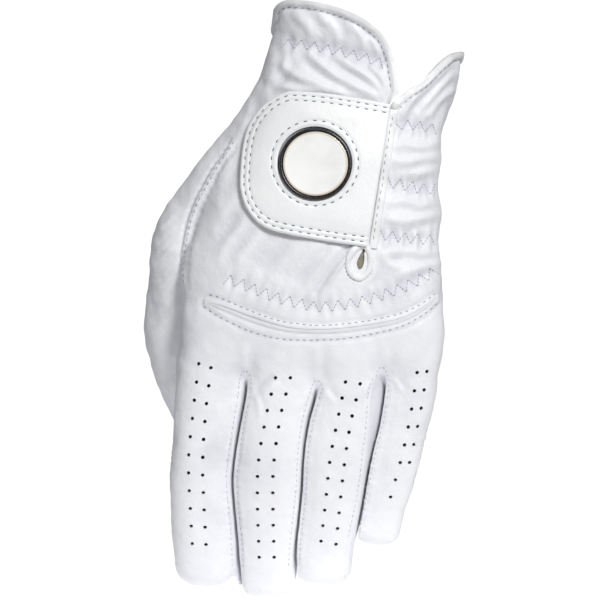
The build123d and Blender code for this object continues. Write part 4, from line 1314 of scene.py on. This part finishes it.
# ---- bands, elastic and linings
band = strip("slit_binding_band", BAND_LINE, 1.75, 0.85, bind_mat, foot=-0.4)
fitted(band, "hand", "binding_leather", "slit_band")
piping = strip("teardrop_piping", TEARDROP_RIM[:-1], 1.15, 0.75, bind_mat, closed=True, foot=-0.5, bead=0.3)
fitted(piping, "hand", "binding_leather", "teardrop_binding")
ELASTIC_NODES = {"wrist": ["wrist_elastic"], "knuckle": ["knuckle_elastic"], "side_upper": ["side_elastics"]}
for row in ("wrist", "knuckle", "side_upper", "side_middle", "side_lower"):
    line = smooth_curve(trimmed(ZIG_LINES[row], 1.5, 1.5), spacing=2.0)
    elastic = strip(f"elastic_{row}", line, 2.6, 0.45, elastic_mat, base=-1.25, foot=-0.1)
    fitted(elastic, "hand", "elastic", *ELASTIC_NODES.get(row, []))


def within(outline, more=0.0):
    """A test that is above 0 in an outline, and up to more outside it."""
    return lambda a, b: more - outline_distance(a, b, outline)


spread = np.linspace(0, len(LOWER_LIP) - 1, len(UPPER_LIP)).astype(int)
INSERT_FOLD = 0.62 * UPPER_LIP + 0.38 * LOWER_LIP[spread]


def insert_height(a, b):
    """The cloth in the crescent lies just under the leather, with one fold along it."""
    d, _, side = to_line(a, b, INSERT_FOLD)
    return -0.32 + 0.3 * ridge(d, 0, 0.6) - 0.3 * ridge(d * side, -0.95, 0.32)


inner = sheet("teardrop_inner_lining", within(TEARDROP, 2.0), ((2, -85), (13, -71)),
              lambda a, b: -1.5 + 0.35 * ease((a - 6.5) / 2.5), -1.9, [warm_mat], 0.5, on_skin, 50)
fitted(inner, "hand", "lining")
insert = sheet("knuckle_stretch_insert", within(LIPS, 1.2), ((-53, -109), (39, -88)),
               insert_height, -1.2, [stretch_mat], 0.45, on_skin, 50)
fitted(insert, "hand", "stretch_insert", "knuckle_insert")

# ---- closure tab
marker_spot = np.mean(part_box("ball_marker"), axis=0) / MM
lift_way = np.array(joints["marker_lift"]["axis"], float)
cup_at = marker_spot - lift_way * 2.1  # foot of the cup's profile
CUP_HOLE = 13.85  # radius of the hole in the tab for the cup
ROW_INSETS = (1.75, 3.65)  # of the tab's two rows of stitches
RING_ROW_R = 16.1  # radius of the stitches round the cup
TAB_ROLL = 0.85  # radius of the tab's rounded edge
TAB_FOLD = 7.0  # the tab folds over this much beside its root
SLOPING = 9.0  # the tab slopes down this far in from its free edge
ROOT_LINE = TAB_EDGE[[0, -1]]


def from_cup(a, b):
    return np.hypot(a - marker_spot[0], b - marker_spot[2])


def in_tab(a, b, inset=0.0):
    """Above 0 in the tab's outline, outside the hole for the cup."""
    return np.minimum(-outline_distance(a, b, TAB_EDGE) - inset, from_cup(a, b) - CUP_HOLE)


def tab_top(a, b):
    """Height of the tab's outer face over the back of the hand, with its stitched rows drawn in."""
    free = to_line(a, b, TAB_EDGE)[0]
    edge = np.minimum(free, to_line(a, b, ROOT_LINE)[0])
    ring = from_cup(a, b)
    h = 3.3 - (TAB_ROLL - np.sqrt(np.maximum(TAB_ROLL**2 - np.maximum(TAB_ROLL - edge, 0) ** 2, 0)))
    h = h - 0.75 * ease(1 - free / SLOPING)
    for inset in ROW_INSETS:
        h = h - 0.26 * ridge(free, inset, 0.42)
    h = h + 0.10 * ridge(free, 2.7, 0.6) + 0.10 * ridge(free, 0.9, 0.5)
    h = h - 0.24 * ridge(ring, RING_ROW_R, 0.5) + 0.10 * ridge(ring, 15.0, 0.6)
    h = h - 0.2 * ease(1.3 - (ring - 13.9) / 0.4)
    spots = np.stack([a, np.zeros_like(a), b], axis=1)
    return h + 0.10 * waves(spots, 24, seed=21) + 0.035 * waves(spots, 9, seed=22)


def under_tab(middle, edge):
    """Heights of a layer under the tab, which slope from middle down to edge."""
    return lambda a, b: middle - (middle - edge) * ease(1 - to_line(a, b, TAB_EDGE)[0] / SLOPING)


def pile_top(a, b):
    return 0.8 - 0.3 * ease(1 - within(LOOP_OUTLINE)(a, b) / 1.2)


def on_tab(spot):
    """Point and normal of the tab's leather at X and Z."""
    a, b = np.array([spot[0]]), np.array([spot[1]])
    points, normals = on_form(a, b)
    return points[0] + normals[0] * tab_top(a, b)[0], normals[0]


root_middle, root_way = ROOT_LINE.mean(axis=0), ROOT_LINE[0] - ROOT_LINE[1]
root_way = root_way / np.linalg.norm(root_way)
into_tab = np.array([-root_way[1], 0.0, root_way[0]])
root_at = np.array([root_middle[0], 0.0, root_middle[1]])
tab_fold = (root_at, root_at + into_tab * TAB_FOLD)
TAB_BOX = ((-39.0, -73.5), (20.5, -12.0))
tab = sheet("closure_tab_leather", in_tab, TAB_BOX, tab_top, under_tab(2.45, 1.7),
            [tab_mat, lining_mat], 0.42)
lining = sheet("closure_tab_lining", lambda a, b: in_tab(a, b, 0.6), TAB_BOX, under_tab(2.44, 1.69),
               under_tab(1.9, 1.15), [lining_mat], 0.8)
hooks = sheet("hook_tape_pad", within(HOOK_OUTLINE), ((-31, -65), (5, -20)), 1.85, 1.15, [hook_mat], 0.9)
loops = sheet("loop_patch_pile", within(LOOP_OUTLINE), ((-33, -66), (9, -18)), pile_top, -0.5,
              [loop_mat], 0.9)
fitted(loops, "hand", "loop_fabric", "loop_patch")
fitted(tab, "closure_tab", "leather", "tab_outer", fold=tab_fold)
fitted(lining, "closure_tab", "lining", "tab_lining", fold=tab_fold)
fitted(hooks, "closure_tab", "hook_tape", "hook_pad")
tab_rows = [trimmed(offset_line(TAB_EDGE, inset), 0.6, 0.6) for inset in ROW_INSETS]
tab_stitches = sew("closure_tab_stitches", tab_rows, 3.3, 1.45, thread_mat, 0.2, 0.14, on_tab)
fitted(tab_stitches, "closure_tab", "binding_leather", fold=tab_fold)
turns = np.linspace(0, 2 * math.pi, 121)
ring_row = marker_spot[[0, 2]] + RING_ROW_R * np.stack([np.cos(turns), np.sin(turns)], axis=1)
ring_stitches = sew("marker_ring_stitches", [ring_row], 3.4, 1.4, thread_mat, 0.22, 0.14, on_tab)
fitted(ring_stitches, "closure_tab", "binding_leather")

# The cup with its glossy ring, the marker in it, and a steel plate in the floor of the cup, which shows
# when the marker is out. Each profile is radius and height over the cup's foot.
CUP_PROFILE = [(0.02, 0.6), (13.5, 0.6), (13.75, 0.8), (13.78, 2), (13.62, 2.42), (13.3, 2.62),
               (12.9, 2.62), (12.6, 2.48), (12.45, 2.2), (12.45, 0.9), (0.02, 0.9)]
MARKER_PROFILE = [(0.02, 1.25), (11.9, 1.25), (12.2, 1.45), (12.3, 1.8), (12.3, 2.55), (12.2, 2.78),
                  (12, 2.86), (11.7, 2.84), (11.45, 2.8), (0.02, 2.8)]
PLATE_PROFILE = [(0.02, 1.2), (11.15, 1.2), (11.25, 1.1), (11.25, 1.0), (0.02, 1.0)]
cup = turned("marker_cup_ring", CUP_PROFILE, cup_at, lift_way, plastic_mat)
fitted(cup, "closure_tab", "cup_plastic", "marker_cup")
disc = turned("ball_marker_disc", MARKER_PROFILE, cup_at, lift_way, enamel_mat)
fitted(disc, "marker", "marker_enamel", "ball_marker")
plate = turned("cup_floor_plate", PLATE_PROFILE, cup_at, lift_way, notch_mat)
fitted(plate, "closure_tab", "magnet_steel")


# ---- sewing
def on_band(spot):
    """Point and normal on top of the slit's binding band."""
    ground, normal = drop(spot)
    return ground + normal * 0.8, normal


HEM_INSET = 2.7
cuff_rows = [trimmed(offset_line(CUFF_RIM, -HEM_INSET), 1.5, 2.0),
             trimmed(offset_line(FLAP_RIM, -HEM_INSET), 2.0, 3.0)]
palm_row = trimmed(offset_line(PALM_RIM, -HEM_INSET), 2.0, 2.0)
band_row = trimmed(offset_line(BAND_LINE, -0.5), 4.5, 2.5)
zig_legs = [leg for name, (_, deep, pitch) in ZIGZAGS.items() for leg in zigzag(ZIG_LINES[name], deep, pitch)]
SEAMS = (  # name, slot, lines, pitch, length and radius of a stitch, and what it is sewn on
    ("cuff_hem_stitches", "binding_leather", cuff_rows, 2.5, 1.5, 0.15, drop),
    ("palm_hem_stitches", "binding_leather", [palm_row], 2.5, 1.5, 0.15, drop_on_palm),
    ("elastic_zigzag_stitches", "elastic", zig_legs, 1.25, 0.85, 0.13, drop),
    ("slit_band_stitches", "binding_leather", [band_row], 2.9, 1.5, 0.15, on_band),
    ("crescent_upper_stitches", "stretch_insert", [UPPER_STITCH], 2.5, 1.2, 0.15, drop),
    ("crescent_lower_stitches", "stretch_insert", [LOWER_STITCH], 2.5, 1.2, 0.15, drop),
    ("thumb_seam_stitches", "leather", [trimmed(THUMB_SEAM, 1.0, 4.0)], 2.3, 1.2, 0.16, drop),
    ("palm_thumb_seam_stitches", "palm_leather", [THUMB_SEAM_PALM], 2.3, 1.2, 0.16, drop_on_palm),
    ("teardrop_stitches", "binding_leather", [TEARDROP_ROW], 1.5, 0.9, 0.13, drop),
)
for name, slot_name, lines, pitch, length, radius, surface in SEAMS:
    arch = 0.1 if name == "elastic_zigzag_stitches" else 0.12
    fitted(sew(name, lines, pitch, length, fine_mat, radius, arch, surface), "hand", slot_name)


def beside_gap(name, side, room, face=-1):
    """A seam beside a finger gap, on the back (face -1) or the palm (face 1)."""
    line = gap_lines[name]
    top = line[0, 1] - (1.0 if face < 0 else 12.0)
    z_at = np.arange(top, line[-1, 1] + 16, -0.8)
    off, half_width = from_gap(0.0, np.interp(z_at, KNUCKLE_Z, MIDDLE_Y) + BACK_DEPTH * face, z_at, name)
    return np.stack([-off + side * (half_width + room), z_at], axis=1)


def finger_seam(name, line, pitch, length, surface=drop):
    return sew(name, [line], pitch, length, pale_mat, 0.14, surface=surface)


SEAM_ENDS = {"index": -196, "middle": -201, "ring": -197, "little": -182}
CROTCH_ARCH = [(-2.3, -1.2), (-1.2, 1.9), (0.2, 2.8), (1.5, 1.8), (2.5, -1.2)]  # from the top of a gap
for k, name in enumerate(GAPS):
    for side, digit in ((-1, FINGERS[k]), (1, FINGERS[k + 1])):
        edge_name = "left" if side > 0 else "right"
        line = beside_gap(name, side, 1.5)
        low = line[(line[:, 1] < RING_Z) & (line[:, 1] > SEAM_ENDS[digit])]
        high = line[line[:, 1] > RING_Z + 0.5]
        bends(finger_seam(f"{digit}_seam_stitches_{edge_name}", low, 2.05, 0.95), digit, "leather")
        if len(high) > 3:
            fitted(finger_seam(f"{digit}_root_stitches_{edge_name}", high, 2.0, 1.0), "hand", "leather")
        line = beside_gap(name, side, 1.7, face=1)
        low = line[(line[:, 1] < RING_Z - 3) & (line[:, 1] > SEAM_ENDS[digit] + 4)]
        palm_seam = finger_seam(f"{digit}_palm_seam_stitches_{edge_name}", low, 2.05, 0.95, drop_on_palm)
        bends(palm_seam, digit, "palm_leather")
    arch_line = smooth_curve(gap_lines[name][0, :2] + CROTCH_ARCH, spacing=0.5)
    fitted(finger_seam(f"{name}_crotch_stitches", arch_line, 1.7, 0.95), "hand", "leather")

# ---- camera, light and stage
VIEW_MIDDLE = (-0.01536, -0.09216)  # X and Z, in metres, of the middle of the photograph's frame
camera_data = bpy.data.cameras.new("camera")
camera_data.sensor_width = 36.0
camera_data.lens = 203.0
camera = bpy.data.objects.new("camera", camera_data)
camera.location = (VIEW_MIDDLE[0], -1.3, VIEW_MIDDLE[1])
camera.rotation_euler = (math.pi / 2, 0, 0)
bpy.context.scene.collection.objects.link(camera)
bpy.context.scene.camera = camera


def lamp(name, location, size, power):
    """A round soft lamp that shines on the middle of the glove."""
    data = bpy.data.lights.new(name, "AREA")
    data.shape = "DISK"
    data.size = size
    data.energy = power
    made = bpy.data.objects.new(name, data)
    made.location = location
    way = Vector((-0.01, 0.0, -0.09)) - Vector(location)
    made.rotation_euler = way.to_track_quat("-Z", "Y").to_euler()
    made.visible_camera = False
    bpy.context.scene.collection.objects.link(made)


lamp("key", (0.50, -1.34, 0.78), 0.42, 19.8)
lamp("palm_side", (0.12, 1.40, 0.75), 0.6, 13.0)

# soft even light from all round, in front of plain white
world = bpy.data.worlds.new("studio")
world.use_nodes = True
tree = world.node_tree
seen = tree.nodes.new("ShaderNodeLightPath")
chosen = tree.nodes.new("ShaderNodeMixShader")
tree.links.new(seen.outputs["Is Camera Ray"], chosen.inputs["Fac"])
tree.links.new(chosen.outputs["Shader"], tree.nodes["World Output"].inputs["Surface"])
soft_light = tree.nodes["Background"]
white_wall = tree.nodes.new("ShaderNodeBackground")
lights = ((soft_light, (0.95, 0.965, 1.0, 1.0), 0.31), (white_wall, (1.0, 1.0, 1.0, 1.0), 1.05))
for k, (light, colour, strength) in enumerate(lights):
    light.inputs["Color"].default_value = colour
    light.inputs["Strength"].default_value = strength
    tree.links.new(light.outputs["Background"], chosen.inputs[k + 1])
bpy.context.scene.world = world
bpy.context.scene.view_settings.view_transform = "Standard"

# a round pale floor under the fingertips
FLOOR_Z, FLOOR_R, FLOOR_SIDES = -0.2235, 0.165, 96
rim_turns = [2 * math.pi * k / FLOOR_SIDES for k in range(FLOOR_SIDES)]
rim = [(VIEW_MIDDLE[0] + FLOOR_R * math.cos(turn), FLOOR_R * math.sin(turn), FLOOR_Z) for turn in rim_turns]
mesh = bpy.data.meshes.new("floor")
mesh.from_pydata(rim, [], [range(FLOOR_SIDES)])
look = Look("pale_floor")
floor_colour = look.mixed(look.noise(3.0), shade(250, 250, 251), shade(246, 246, 248))
glow = (1.0, 1.0, 1.0, 1.0)
mesh.materials.append(look.finished(floor_colour, 0.9, emission_color=glow, emission_strength=0.25))
floor = bpy.data.objects.new("floor", mesh)
bpy.context.scene.collection.objects.link(floor)
